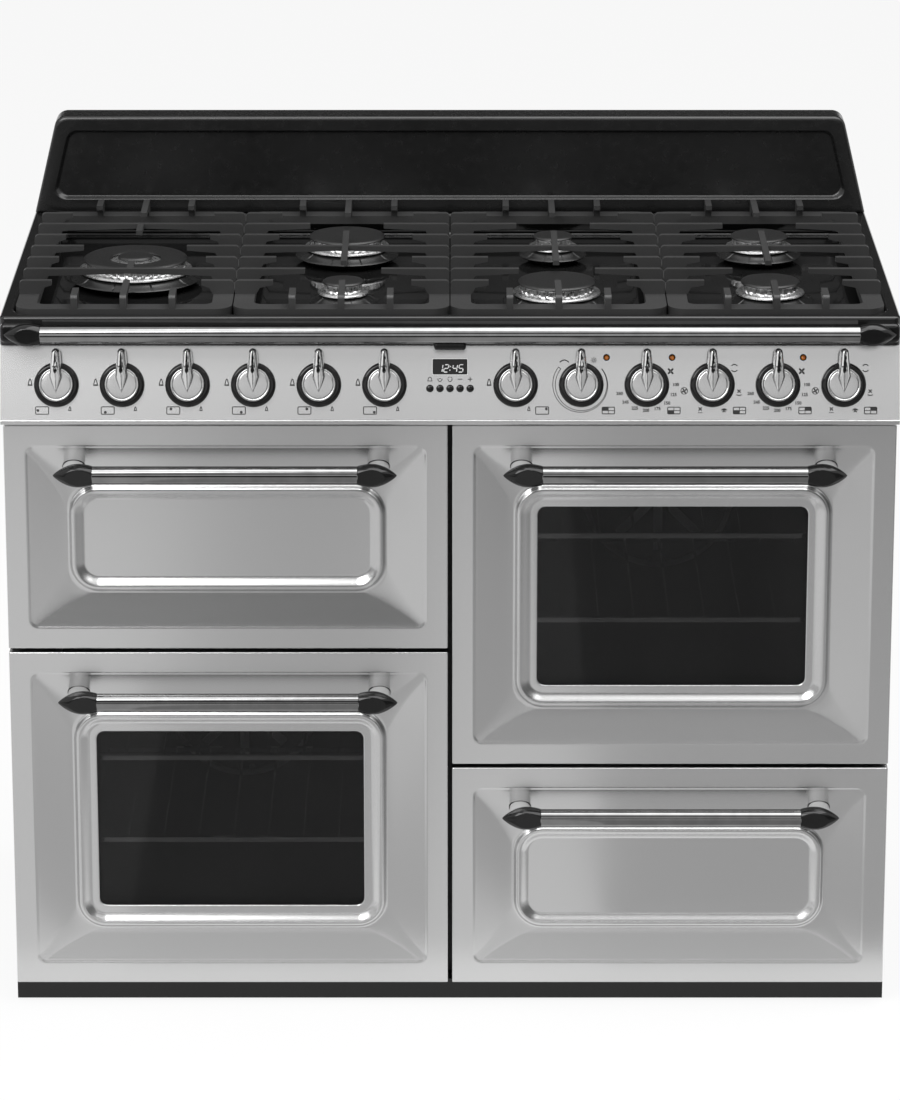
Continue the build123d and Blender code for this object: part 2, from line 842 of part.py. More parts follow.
def turned(x, y, z, profile):
    """A piece turned about an upright axis, from a closed profile of radius and height."""
    with BuildSketch(facing(y, x, z)) as outline:
        with BuildLine():
            Polyline(*profile, close=True)
        make_face()
    revolve(outline.sketch, axis=Axis((x, y, z), (0, 0, 1)))


# Burners: cone shaped base, aluminium head and enamelled cap
cone_top = base_height - base_shoulder
with BuildPart() as bases:
    for x, y, cap in burners:
        spigot = cap * spigot_ratio
        turned(x, y, well_floor, [(0, -spigot_length), (spigot, -spigot_length), (spigot, 0),
                                  (cap + base_reach, 0), (cap + base_reach, base_edge),
                                  (cap + head_reach, cone_top),
                                  (cap, base_height), (0, base_height)])
save(bases, "burner_bases")

with BuildPart() as heads:
    for x, y, cap in burners:
        crown = cap - head_flange
        skirt = head_edge + head_flange
        turned(x, y, well_floor + base_height, [(0, 0), (cap + head_reach - head_edge / 2, 0),
                                                (cap + head_reach, head_edge), (crown, skirt),
                                                (crown, head_height), (0, head_height)])
save(heads, "burner_heads")

with BuildPart() as caps:
    for x, y, cap in burners:
        low = well_floor + base_height + head_height
        inner = wok_hole if cap == wok_cap else 0
        turned(x, y, low, [(inner, 0), (cap, 0), (cap, cap_height - cap_edge), (cap - cap_edge, cap_height),
                           (inner, cap_height)])
        if inner:
            turned(x, y, low, [(0, 0), (wok_inner_cap, 0), (wok_inner_cap - cap_edge, cap_height),
                               (0, cap_height)])
save(caps, "burner_caps")

# Pan stands: a frame on legs with upright fingers that point at the burners
stand_y = front + wok_row
stand_depth = well_back - well_front - 2 * stand_room
bar_high = hob_height + stand_bar_top
bar_low = bar_high - stand_bar_thickness
finger_high = hob_height + stand_top
finger_low = finger_high - finger_depth
half_stand = stand_width / 2
side_fingers = dict(zip(range(-3, 4), (side_finger, long_finger, side_finger, half_stand,
                                       side_finger, long_finger, side_finger)))
wok_fingers = dict(zip(range(-3, 4), (wok_finger, half_stand, wok_finger, wok_middle_finger,
                                      wok_finger, half_stand, wok_finger)))
end_fingers = dict(zip(range(-1, 2), (end_finger, end_middle_finger, end_finger)))


def finger(x, y, direction, length):
    """An upright finger that runs inwards from a frame edge: a foot on the frame, a shoulder, a slim tip."""
    run = Vector(*direction, 0)
    plane = Plane(origin=(x, y, 0), x_dir=run, z_dir=run.cross(Vector(0, 0, 1)))
    root = bar_high - finger_root
    with BuildSketch(plane) as outline:
        with BuildLine():
            Polyline((finger_round, finger_high), (length, finger_high), (length, finger_low),
                     (stand_bar + shoulder_reach, finger_high - shoulder_depth), (stand_bar, root),
                     (0, root), (0, finger_high - finger_round))
            RadiusArc((0, finger_high - finger_round), (finger_round, finger_high), finger_round)
        make_face()
    extrude(outline.sketch, amount=finger_thickness / 2, both=True)


for zone in range(hob_zones):
    stand_x = (zone - (hob_zones - 1) / 2) * burner_pitch
    is_wok = zone == 0
    half_y = stand_depth / 2
    thick = finger_thickness / 2
    with BuildPart() as stand:
        with BuildSketch(level(bar_low, stand_x, stand_y)):
            RectangleRounded(stand_width, stand_depth, stand_radius)
            RectangleRounded(stand_width - 2 * stand_bar, stand_depth - 2 * stand_bar, stand_radius / 2,
                             mode=Mode.SUBTRACT)
        extrude(amount=stand_bar_thickness)
        with BuildSketch(level(well_floor, stand_x, stand_y)):
            with GridLocations(stand_width - stand_bar, stand_depth - 4 * stand_bar, 2, 2):
                Rectangle(leg_size, leg_size)
        extrude(amount=bar_low - well_floor)
        for step, length in (wok_fingers if is_wok else side_fingers).items():
            for side in (-1, 1):
                finger(stand_x + side * half_stand, stand_y + step * finger_pitch, (-side, 0), length)
        for step, length in end_fingers.items():
            for side in (-1, 1):
                finger(stand_x + step * end_finger_pitch, stand_y + side * half_y, (0, -side), length)
        if is_wok:
            for side in (-1, 1):
                near, far = sorted(stand_y + side * (2 * finger_pitch - edge) for edge in (0, stub_reach / 2))
                block(stand_x - thick, stand_x + thick, near, far, finger_low, finger_high)
        else:
            block(stand_x - thick, stand_x + thick, stand_y - stub_reach, stand_y + stub_reach,
                  finger_low, finger_high)
    save(stand, f"pan_stand_{zone + 1}")


def splash_outline(y, inset, radius):
    """The tapered outline of the splashback at depth y, drawn in by inset, with rounded corners."""
    taper = splash_taper / splash_height
    low, high = inset, splash_height - inset
    wide = half_width - splash_inset - inset * hypot(1, taper)
    corners = [(-wide + taper * low, low), (wide - taper * low, low),
               (wide - taper * high, high), (-wide + taper * high, high)]
    with BuildSketch(facing(y, 0, hob_height)) as outline:
        with BuildLine():
            Polyline(*corners, close=True)
        make_face()
        rounded = outline.vertices() if inset else outline.vertices().group_by(Axis.Y)[-1]
        fillet(rounded, radius)
    return outline.sketch


# Splashback: a tapered upstand with a recessed field, open at the back
splash_face = back - splash_thickness
with BuildPart() as splash:
    extrude(splash_outline(back, 0, splash_radius), amount=splash_thickness)
    extrude(splash_outline(splash_face, splash_border, splash_radius), amount=-splash_recess,
            mode=Mode.SUBTRACT)
    hollow = splash_thickness - splash_recess - 2 * sheet
    extrude(splash_outline(back, 2 * sheet, splash_radius), amount=hollow, mode=Mode.SUBTRACT)
save(splash, "splashback")

# Rail along the hob front, with its end castings and its centre bracket
rail_y = front - rail_out
with BuildPart() as rail:
    with BuildSketch(across(-rail_half)):
        with Locations((rail_y, rail_z)):
            Circle(rail_radius)
    extrude(amount=2 * rail_half)
save(rail, "rail_bar")

bracket_low = hob_height - hob_skirt
with BuildPart() as rail_ends:
    for side in (-1, 1):
        place = side * rail_half
        end_cap(place, rail_y, rail_z, side, rail_cap_length, rail_radius, rail_cap_radius)
        edges = (rail_post_inset, rail_post_inset + post_width)
        inside, outside = sorted(place + side * edge for edge in edges)
        block(inside, outside, rail_y, front, rail_z - post_height / 2, rail_z + post_height / 2)
        inside, outside = sorted((place + side * post_width, side * (half_width - door_reveal)))
        block(inside, outside, front - corner_block, front, rail_z - corner_height, rail_z + corner_height)
    block(-bracket_width / 2, bracket_width / 2, rail_y, front, bracket_low, bracket_low + bracket_height)
    with BuildSketch(across(-rail_half)):
        with Locations((rail_y, rail_z)):
            Circle(rail_radius)
    extrude(amount=2 * rail_half, mode=Mode.SUBTRACT)
save(rail_ends, "rail_ends")
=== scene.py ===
# %% [markdown]
# # A dual fuel range cooker
# The cooker is a black enamelled gas hob over a brushed steel front: a grill door, two oven doors and a
# drawer. The solids that carry and move it are loaded as a fixed frame. This lesson dresses them: pressed
# fronts with soft edges, chrome bars, lever knobs, burners and printed marks, each worked out as a numpy
# surface, and a procedural finish for every piece.

# %% Load the frame
import json
from math import atan2, cos, pi, radians, sin

import bmesh
import bpy
import numpy as np
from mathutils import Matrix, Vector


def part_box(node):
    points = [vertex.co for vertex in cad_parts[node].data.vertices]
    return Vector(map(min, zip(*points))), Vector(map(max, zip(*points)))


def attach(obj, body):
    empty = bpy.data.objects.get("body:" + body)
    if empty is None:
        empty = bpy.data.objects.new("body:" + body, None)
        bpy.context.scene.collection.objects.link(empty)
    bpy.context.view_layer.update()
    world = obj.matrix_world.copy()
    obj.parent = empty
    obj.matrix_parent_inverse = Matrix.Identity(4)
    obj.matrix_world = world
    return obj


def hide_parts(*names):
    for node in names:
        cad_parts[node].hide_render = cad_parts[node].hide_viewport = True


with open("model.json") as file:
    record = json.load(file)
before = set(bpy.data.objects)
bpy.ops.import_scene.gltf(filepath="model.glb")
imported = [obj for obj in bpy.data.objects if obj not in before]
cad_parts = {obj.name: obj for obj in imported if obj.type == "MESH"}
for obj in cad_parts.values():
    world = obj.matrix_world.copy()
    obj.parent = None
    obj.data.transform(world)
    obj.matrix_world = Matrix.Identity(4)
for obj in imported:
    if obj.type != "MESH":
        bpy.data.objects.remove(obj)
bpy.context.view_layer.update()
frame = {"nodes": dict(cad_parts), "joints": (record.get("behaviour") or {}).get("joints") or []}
nodes = frame["nodes"]
joints = {joint["name"]: joint for joint in frame["joints"]}

# %% [markdown]
# ## From arrays to meshes
# Nearly every piece here is a stack of rings, each ring a row of points. Two ways lead to a mesh: one vertex
# at a time in a loop, or whole arrays at once. Arrays are shorter and faster, and the formula stays readable.
# A shell is a pair: its points and its faces. Several shells make one piece.

# %% Rings into shells
MM = 0.001
x_axis = np.array([1, 0, 0])


def ring_faces(rows, columns, closed_rows=False):
    """Quads between neighbouring rings of a stack; each ring is closed, and the stack too if asked."""
    row = np.arange(rows if closed_rows else rows - 1)[:, None]
    column = np.arange(columns)[None, :]
    here = row * columns + column
    beside = row * columns + (column + 1) % columns
    step = (row + 1) % rows - row
    quads = np.stack([here, beside, beside + step * columns, here + step * columns], -1)
    return quads.reshape(-1, 4).tolist()


def stack(rings, closed_rows=False, caps=True):
    """A shell from rings (rows, columns, 3): quads between them and a flat cap at each end."""
    rows, columns = rings.shape[:2]
    faces = ring_faces(rows, columns, closed_rows)
    if caps and not closed_rows:
        last = (rows - 1) * columns
        faces.append(list(range(columns))[::-1])
        faces.append(list(range(last, last + columns)))
    return rings.reshape(-1, 3), faces


def rings_across(axis, outlines, places):
    """Rings of flat outlines, each set square to an axis (0, 1, 2 for X, Y, Z) at its own place on it."""
    outlines = np.asarray(outlines, float)
    columns = [outlines[..., 0], outlines[..., 1]]
    columns.insert(axis, np.broadcast_to(np.asarray(places, float)[:, None], outlines.shape[:2]))
    return np.stack(columns, -1)


def turned(profile, centre, axis=(0, 0, 1), start=x_axis, steps=64, ripple=None, closed=False):
    """A turned shell: each (radius, height) of the profile goes round the axis through centre.

    A point is centre + height * axis + radius * (cos t * start + sin t * side). A ripple is a function of
    the angle and the profile's row that scales the radius, as for ports and slits. A closed profile comes
    back to its first row and makes a ring.
    """
    profile = np.asarray(profile, float)
    axis = np.asarray(axis, float)
    start = np.asarray(start, float)
    side = np.cross(axis, start)
    t = np.linspace(0, 2 * pi, steps, endpoint=False)
    around = np.cos(t)[:, None] * start + np.sin(t)[:, None] * side
    radius = np.repeat(profile[:, :1], steps, 1)
    if ripple is not None:
        radius = radius * ripple(t[None, :], np.arange(len(profile))[:, None])
    rings = np.asarray(centre) + profile[:, 1, None, None] * axis + radius[:, :, None] * around[None]
    return stack(rings, closed, caps=profile[0, 0] > 0 or profile[-1, 0] > 0)


drum = turned([(1, 0), (1, 1)], (0, 0, 0))
print("a turned drum:", len(drum[0]), "points,", len(drum[1]), "faces")

# %% [markdown]
# Pressed sheet has rounded corners everywhere. A Bevel modifier could round them, but it can't give each row
# of a pressing its own radius. So an outline is rounded by a formula before it becomes a ring.


# %% Rounded outlines
def edge_directions(corners):
    """At each corner: unit vectors to the corner before and after, their bisector and half their angle."""
    before = np.roll(corners, 1, -2) - corners
    after = np.roll(corners, -1, -2) - corners
    before /= np.linalg.norm(before, axis=-1, keepdims=True)
    after /= np.linalg.norm(after, axis=-1, keepdims=True)
    half = np.arccos(np.clip((before * after).sum(-1), -1, 1)) / 2
    bisector = before + after
    bisector /= np.linalg.norm(bisector, axis=-1, keepdims=True)
    return before, after, bisector, half


def rounded_outline(corners, radii, steps=8):
    """Closed outlines through corners (..., n, 2), each rounded by an arc of its radius (..., n).

    The arc's centre lies on the bisector of the two edges, at radius / sin(half the angle) from the corner.
    Its first and last point lie radius / tan(half the angle) back along the edges, and the points between
    are turned evenly from one to the other.
    """
    before, after, bisector, half = edge_directions(corners)
    centre = corners + bisector * (radii / np.sin(half))[..., None]
    reach = (radii / np.tan(half))[..., None]
    first = corners + before * reach - centre
    final = corners + after * reach - centre
    turn = (pi - 2 * half)[..., None]
    t = np.linspace(0, 1, steps + 1)
    a = (np.sin((1 - t) * turn) / np.sin(turn))[..., None]
    b = (np.sin(t * turn) / np.sin(turn))[..., None]
    points = centre[..., None, :] + a * first[..., None, :] + b * final[..., None, :]
    return points.reshape(*points.shape[:-3], -1, 2)


def inset_corners(corners, amount):
    """A polygon drawn in by an amount: each corner moves along its bisector by amount / sin(half angle)."""
    _, _, bisector, half = edge_directions(corners)
    return corners + bisector * (amount / np.sin(half))[:, None]


def box_corners(left, right, low, high):
    """Corners of boxes, anticlockwise, from arrays of their sides: shape (..., 4, 2)."""
    across = np.stack([left, right, right, left], -1)
    upright = np.stack([low, low, high, high], -1)
    return np.stack([across, upright], -1).astype(float)


def rounded_box(left, right, low, high, radius):
    """The outline of one box with four equal corners."""
    return rounded_outline(box_corners([left], [right], [low], [high]), np.full((1, 4), radius))[0]


print("points of a rounded box:", len(rounded_box(-1, 1, -1, 1, 0.5)))

# %% [markdown]
# A piece is a mesh that rides on a body of the frame and stands for one or more of its nodes. One function
# makes every piece, so none is left without a finish or a body. A Weighted Normal modifier keeps
# large flats flat beside their small rounded edges.

# %% Meshes and pieces
crease = 38


def join(shells):
    """Several shells as one: their points in a row, and their faces shifted to match."""
    points, faces, count = [], [], 0
    for shell_points, shell_faces in shells:
        points.append(shell_points)
        faces += [[count + i for i in face] for face in shell_faces]
        count += len(shell_points)
    return np.concatenate(points), faces


def make_mesh(name, shells, sharp=crease):
    """A mesh from shells: doubles merged, faces turned outwards, smooth except at sharp edges."""
    points, faces = join(shells)
    mesh = bpy.data.meshes.new(name)
    mesh.from_pydata(points.tolist(), [], faces)
    shape = bmesh.new()
    shape.from_mesh(mesh)
    bmesh.ops.remove_doubles(shape, verts=shape.verts, dist=0.001 * MM)
    bmesh.ops.dissolve_degenerate(shape, edges=shape.edges, dist=0.001 * MM)
    bmesh.ops.recalc_face_normals(shape, faces=shape.faces)
    shape.to_mesh(mesh)
    shape.free()
    mesh.shade_smooth()
    mesh.set_sharp_from_angle(angle=radians(sharp))
    return mesh


def lay_brush_map(mesh):
    """A flat map for brushing: u runs along the width and v up, so tangents follow the width."""
    corners = np.empty(len(mesh.loops), int)
    mesh.loops.foreach_get("vertex_index", corners)
    points = np.empty(len(mesh.vertices) * 3)
    mesh.vertices.foreach_get("co", points)
    flat = points.reshape(-1, 3)[corners][:, [0, 2]]
    mesh.uv_layers.new(name="brush").data.foreach_set("uv", flat.ravel())


def add_object(name, data):
    """A new object at the origin, linked to the scene."""
    thing = bpy.data.objects.new(name, data)
    bpy.context.scene.collection.objects.link(thing)
    return thing


def put(name, mesh, finish, body, slot, *replaced):
    """Make a mesh a piece of the cooker: its finish, the body it rides on and the nodes it stands for."""
    piece = add_object(name, mesh)
    mesh.materials.append(finish)
    lay_brush_map(mesh)
    shading = piece.modifiers.new("even_shading", "WEIGHTED_NORMAL")
    shading.keep_sharp = True
    shading.weight = 100
    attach(piece, body)
    if replaced:
        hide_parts(*replaced)
    print(f"{name}: {len(mesh.vertices)} points, {len(mesh.polygons)} faces, on {body}")
    return piece


def corners_of(node):
    """The lowest and the highest corner of a node's box, as arrays."""
    return [np.array(corner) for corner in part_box(node)]


# %% [markdown]
# ## Finishes
# Each finish is one Principled shader with patterns in Object coordinates, which are metres here because
# every piece sits at the origin. Image textures would be quicker to paint, but patterns need no files and
# keep their scale on any piece. A helper lays a noise pattern that can be stretched along one axis.


# %% Pattern helpers
class Finish:
    """A material in the making: its nodes, and short ways to add patterns and link them."""

    def __init__(self, name):
        self.material = bpy.data.materials.new(name)
        self.material.use_nodes = True
        self.tree = self.material.node_tree
        self.shader = self.tree.nodes["Principled BSDF"]

    def set(self, **values):
        """Set plain numbers and colours on the shader's own sockets."""
        for socket, value in values.items():
            self.shader.inputs[socket.replace("_", " ")].default_value = value

    def node(self, kind, **values):
        """A new node with some of its properties set."""
        made = self.tree.nodes.new(kind)
        for key, value in values.items():
            setattr(made, key, value)
        return made

    def link(self, output, place):
        """Link an output to a shader socket by name, or to any input."""
        place = self.shader.inputs[place] if isinstance(place, str) else place
        self.tree.links.new(output, place)

    def noise(self, stretch, detail=3):
        """A noise pattern whose cells measure 1 / stretch metres, along each axis if three are given."""
        place = self.node("ShaderNodeTexCoord")
        mapping = self.node("ShaderNodeMapping")
        mapping.inputs["Scale"].default_value = (stretch,) * 3 if np.isscalar(stretch) else stretch
        pattern = self.node("ShaderNodeTexNoise")
        pattern.inputs["Scale"].default_value = 1
        pattern.inputs["Detail"].default_value = detail
        self.link(place.outputs["Object"], mapping.inputs["Vector"])
        self.link(mapping.outputs["Vector"], pattern.inputs["Vector"])
        return pattern.outputs["Fac"]

    def ramp(self, value, stops):
        """Colours along a value: stops are (place, grey or colour) pairs."""
        made = self.node("ShaderNodeValToRGB")
        elements = made.color_ramp.elements
        for element, (place, colour) in zip(elements, stops):
            shade = (colour,) * 3 if np.isscalar(colour) else colour
            element.position = place
            element.color = (*shade, 1)
        self.link(value, made.inputs["Fac"])
        return made.outputs["Color"]

    def multiply(self, first, second):
        """One colour times another."""
        made = self.node("ShaderNodeMix", data_type="RGBA", blend_type="MULTIPLY")
        made.inputs["Factor"].default_value = 1
        self.link(first, made.inputs["A"])
        self.link(second, made.inputs["B"])
        return made.outputs["Result"]

    def bump(self, height, strength, distance):
        """Small unevenness from a pattern: distance is its height in metres."""
        made = self.node("ShaderNodeBump")
        made.inputs["Strength"].default_value = strength
        made.inputs["Distance"].default_value = distance
        self.link(height, made.inputs["Height"])
        self.link(made.outputs["Normal"], "Normal")


print("ways to build a finish:", [way for way in vars(Finish) if not way.startswith("_")])

# %% [markdown]
# ## Brushed steel
# The fronts and the panel are stainless steel, brushed along the width. Fine lines come from noise that is
# stretched far along X. A second, slow noise makes broad soft bands in the base colour: partly the uneven
# tone of brushed sheet, partly painted reflection, the soft light and dark that steel mirrors from its room.
# Anisotropy, turned a quarter from the brush map's lines, draws highlights out across them, as real brushing
# does. Chrome has no lines: it is a bright metal with a trace of haze. The handle tubes and the rail use a
# much darker copy of it, with painted shade for the dark bands they mirror.


# %% Steel and chrome
def make_steel(name, light, dark, gloss):
    """Brushed steel: fine lines along X over slow bands of uneven tone and painted reflection, with brushed
    gloss.
    """
    steel = Finish(name)
    lines = steel.noise((5, 900, 900), detail=2)
    # slow bands: the sheet's uneven tone and painted reflection, both in the base colour
    tone_and_reflection_bands = steel.noise((2.2, 3, 1.4), detail=1)
    fine = steel.ramp(lines, [(0.25, 0.985), (0.75, 1)])
    tone_and_reflection = steel.ramp(tone_and_reflection_bands, [(0.3, dark), (0.7, light)])
    steel.link(steel.multiply(tone_and_reflection, fine), "Base Color")
    steel.link(steel.ramp(lines, [(0.2, gloss - 0.01), (0.8, gloss + 0.01)]), "Roughness")
    tangent = steel.node("ShaderNodeTangent", direction_type="UV_MAP", uv_map="brush")
    steel.link(tangent.outputs["Tangent"], "Tangent")
    steel.bump(lines, 0.02, 0.00001)
    steel.set(Metallic=1, Anisotropic=0.6, Anisotropic_Rotation=0.25)
    return steel.material


def make_chrome(name, shade, gloss):
    """Polished chrome with a trace of haze."""
    chrome = Finish(name)
    haze = chrome.noise(60, detail=2)
    chrome.link(chrome.ramp(haze, [(0.3, shade - 0.02), (0.7, shade + 0.02)]), "Base Color")
    chrome.link(chrome.ramp(haze, [(0.35, gloss), (0.75, gloss + 0.05)]), "Roughness")
    chrome.set(Metallic=1)
    return chrome.material


steel = make_steel("brushed_steel", light=0.66, dark=0.6, gloss=0.24)
chrome = make_chrome("chrome", 0.78, 0.04)
satin_chrome = make_chrome("satin_chrome", 0.74, 0.2)
disc_chrome = make_chrome("disc_chrome", 0.5, 0.22)
# a darker copy of chrome for the handle tubes and the rail: painted shade in the base colour
bar_chrome = make_chrome("bar_chrome", 0.24, 0.05)
print("steel and chrome:", [metal.name for metal in (steel, chrome, satin_chrome, disc_chrome, bar_chrome)])

# %% [markdown]
# ## Enamel, iron, glass and the rest
# Fired enamel is glass on steel: deep, glossy, with a faint orange peel. Cast iron is dull and grainy. The
# burner caps are a matt enamel between the two. The inside of an oven is enamel with pale specks. The oven
# panes are dark and let a little of the racks through.


# %% Dark and bright finishes
def make_coating(name, shade, gloss, grain, depth, level=0.5):
    """A coating: one shade with a slow drift, a gloss that follows the grain, and a fine bump."""
    coating = Finish(name)
    pattern = coating.noise(grain)
    drift = coating.noise(6, detail=1)
    coating.link(coating.ramp(drift, [(0.3, shade * 0.85), (0.7, shade * 1.15)]), "Base Color")
    coating.link(coating.ramp(pattern, [(0.3, gloss * 0.85), (0.7, gloss * 1.2)]), "Roughness")
    coating.bump(pattern, 0.35, depth)
    coating.set(Specular_IOR_Level=level)
    return coating.material


def make_speckled(name):
    """Oven enamel: dark blue grey with small pale specks."""
    enamel = Finish(name)
    specks = enamel.noise(700, detail=1)
    enamel.link(enamel.ramp(specks, [(0.66, (0.02, 0.021, 0.024)), (0.72, 0.3)]), "Base Color")
    enamel.set(Roughness=0.25)
    return enamel.material


def make_metal(name, light, dark, gloss, grain):
    """A cast or rolled metal: two shades in soft cells, with gloss that follows them."""
    metal = Finish(name)
    cells = metal.noise(grain, detail=4)
    metal.link(metal.ramp(cells, [(0.3, dark), (0.7, light)]), "Base Color")
    metal.link(metal.ramp(cells, [(0.3, gloss - 0.06), (0.7, gloss + 0.06)]), "Roughness")
    metal.bump(cells, 0.2, 0.0001)
    metal.set(Metallic=1)
    return metal.material


def make_glass(name):
    """A dark pane: mostly black, partly clear, with streaks so faint that only its gloss shows them."""
    pane = Finish(name)
    streaks = pane.noise((9, 9, 2), detail=2)
    pane.link(pane.ramp(streaks, [(0.3, 0.006), (0.7, 0.012)]), "Base Color")
    pane.link(pane.ramp(streaks, [(0.3, 0.02), (0.7, 0.05)]), "Roughness")
    pane.set(Alpha=0.32)
    return pane.material


def make_lens(name):
    """An amber lamp lens: deep orange, lighter in its core, with a glossy coat."""
    lens = Finish(name)
    core = lens.noise(250, detail=1)
    lens.link(lens.ramp(core, [(0.35, (0.42, 0.09, 0.012)), (0.7, (0.75, 0.24, 0.03))]), "Base Color")
    lens.set(Roughness=0.2, Coat_Weight=0.6)
    return lens.material


def make_ink(name, shade, gloss):
    """Printed ink: one shade with a slight unevenness."""
    print_ink = Finish(name)
    grain = print_ink.noise(900, detail=2)
    print_ink.link(print_ink.ramp(grain, [(0.3, shade * 0.9), (0.7, shade)]), "Base Color")
    print_ink.set(Roughness=gloss)
    return print_ink.material


black_enamel = make_coating("black_enamel", 0.009, 0.05, 90, 0.00006)
splash_enamel = make_coating("splash_enamel", 0.009, 0.24, 90, 0.00003)
cap_enamel = make_coating("cap_enamel", 0.012, 0.36, 500, 0.00005)
black_gloss = make_coating("black_gloss", 0.006, 0.1, 200, 0.00002, level=0.35)
cast_iron = make_coating("cast_iron", 0.028, 0.45, 900, 0.00015)
frame_paint = make_coating("frame_paint", 0.008, 0.45, 300, 0.00003)
post_grey = make_coating("post_grey", 0.42, 0.4, 300, 0.00002)
inner_enamel = make_speckled("inner_enamel")
aluminium = make_metal("aluminium", 0.8, 0.68, 0.3, 300)
zinc_steel = make_metal("zinc_steel", 0.6, 0.48, 0.42, 45)
brass = make_metal("brass", (0.72, 0.5, 0.2), (0.62, 0.42, 0.15), 0.28, 200)
dark_glass = make_glass("dark_glass")
lens = make_lens("lens")
ink = make_ink("ink", 0.015, 0.5)
display_white = make_ink("display_white", 0.95, 0.4)
solid_finishes = (steel, chrome, black_enamel, inner_enamel, cap_enamel, black_gloss, cast_iron, aluminium,
                  dark_glass, lens, brass, zinc_steel)
finishes = {finish.name.split(".")[0]: finish for finish in solid_finishes}
print("finishes of the solids:", sorted(finishes))

# %% [markdown]
# ## The solids that stay
# Cavities, racks, door liners, hinges, the plinth and other plain folded pieces already have their true
# shape, so they keep their solids and get a finish. Each solid's material slot carries the finish's name.
# The frame and the side panels are painted black, because the gaps and the outer edges show black.

# %% Dress the solids
painted = ("chassis", "side_panels")
for name, node in nodes.items():
    for number, old in enumerate(node.data.materials):
        own_finish = finishes.get(old.name.split(".")[0], zinc_steel)
        node.data.materials[number] = frame_paint if name in painted else own_finish
print("dressed solids:", len(nodes))

# %% [markdown]
# ## Pressed fronts
# Each front is one pressed sheet: a flat border, a small step, four slopes that fall into a recess with
# mitred corners, a rounded bead and a flat panel or a window. It could be cut from a box with bevels, but
# then the slopes' corners would be hard to blend. Here the front is a stack of rounded boxes, from the
# returned edge at the back, over the face and into the middle. Every row of the section is one box: its
# inset, its depth behind the face and its corner radius.

# %% Section of a front
bead_insets = np.array([78, 80, 72]) * MM
bead_width = 19 * MM
bead_radius = 36 * MM
border = 28 * MM
slope_gap = 3 * MM
edge_corners = np.array([1, 2.2]) * MM
border_corner, step_corner, slope_corner, foot_corner, window_corner = (v * MM for v in (13, 12, 9, 31, 10))
sheet = 1.5 * MM
recess = 12 * MM
skin_depth = 32 * MM
lip = 1.6 * MM
window_margin = 9 * MM


def edge_rows():
    """The sheet's back edge and its rounded front edge: insets, depths and corner radii.

    An inset has three columns, for the sides, the top and the bottom.
    """
    t = np.linspace(0, pi / 2, 5)
    inset = np.concatenate([[sheet, sheet, 0], lip * (1 - np.cos(t)), [border - 2 * lip]])
    depth = np.concatenate([[recess + sheet, skin_depth, skin_depth], lip * (1 - np.sin(t)), [0]])
    radius = np.linspace(*edge_corners, len(inset))
    radius[-1] = border_corner
    return np.repeat(inset[:, None], 3, 1), depth, radius


def slope_rows():
    """The step inside the border and the slope down to the bead, with corners that open as they go."""
    t = np.linspace(0, 1, 7)
    ease = t * t * (3 - 2 * t)
    step_inset = border - 1.5 * lip + 3 * lip * t
    along = np.linspace(0.04, 1, 6)
    slope_start = step_inset[-1]
    slope_inset = slope_start + along[:, None] * (bead_insets - slope_gap - slope_start)
    inset = np.concatenate([np.repeat(step_inset[:, None], 3, 1), slope_inset])
    depth = np.concatenate([sheet * ease, sheet + along * (recess - sheet)])
    opening = slope_corner + (foot_corner - slope_corner) * along ** 2
    return inset, depth, np.concatenate([np.linspace(step_corner, slope_corner, 7), opening])


def bead_rows():
    """The bead: a steep outer side, a round crest and a long fall to the panel."""
    across = np.array([-1.5, -0.2, 0.9, 1.9, 3, 4.4, 6, 7.6, 9.4, 11.8, 14.2, 16.2, 17.8, 19]) * MM
    rise = np.array([0.1, 0.7, 2.2, 4.4, 6, 6.8, 7, 6.7, 5.8, 4, 2.2, 0.9, 0.2, 0]) * MM
    return bead_insets + across[:, None], recess - rise, bead_radius - across


def window_rows():
    """The flat margin inside the bead and the rolled edge of the window."""
    t = np.linspace(0, pi / 2, 4)
    across = bead_width + window_margin - lip + lip * np.sin(t)
    across = np.concatenate([[bead_width + lip], across, across[-1:]])
    depth = np.concatenate([[recess], recess + lip * (1 - np.cos(t)), [recess + sheet]])
    return bead_insets + across[:, None], depth, np.full(len(across), window_corner)


def pressed_front(low, high, window):
    """The shell of a front that fills the box from low to high: its section's rows as rounded boxes."""
    rows = [edge_rows(), slope_rows(), bead_rows()] + [window_rows()] * window
    inset, depth, radius = (np.concatenate(column) for column in zip(*rows))
    side, top, bottom = inset.T
    corners = box_corners(low[0] + side, high[0] - side, low[2] + bottom, high[2] - top)
    outline = rounded_outline(corners, np.repeat(radius[:, None], 4, 1))
    return stack(rings_across(1, outline, low[1] + depth), closed_rows=window)


section_parts = (edge_rows, slope_rows, bead_rows, window_rows)
print("rows from edge to window:", [len(rows()[1]) for rows in section_parts])

# %% [markdown]
# The doors turn on pins inside their edge, so each skin has a slot where a hinge lug passes when the door
# opens. A slot across a finished surface is easiest to cut with a Boolean, applied once.

# %% Make the fronts
hinge_inset = 60 * MM
notch_half = 5 * MM
notch_reach = 15 * MM
notch_corner = 0.1 * MM


def notch_block(joint, low, spot):
    """A block across the hinged edge at one hinge, from behind the face to past the back of the skin."""
    along = int(np.argmax(np.abs(joint["axis"])))
    near, far = (np.array(joint["pos_m"]) + reach for reach in (-notch_reach, notch_reach))
    near[along], far[along] = spot - notch_half, spot + notch_half
    sides = (near[:1], far[:1], near[2:], far[2:])
    outline = rounded_outline(box_corners(*sides), np.full((1, 4), notch_corner), 1)[0]
    return stack(rings_across(1, [outline, outline], (low[1] + sheet, low[1] + 2 * skin_depth)))


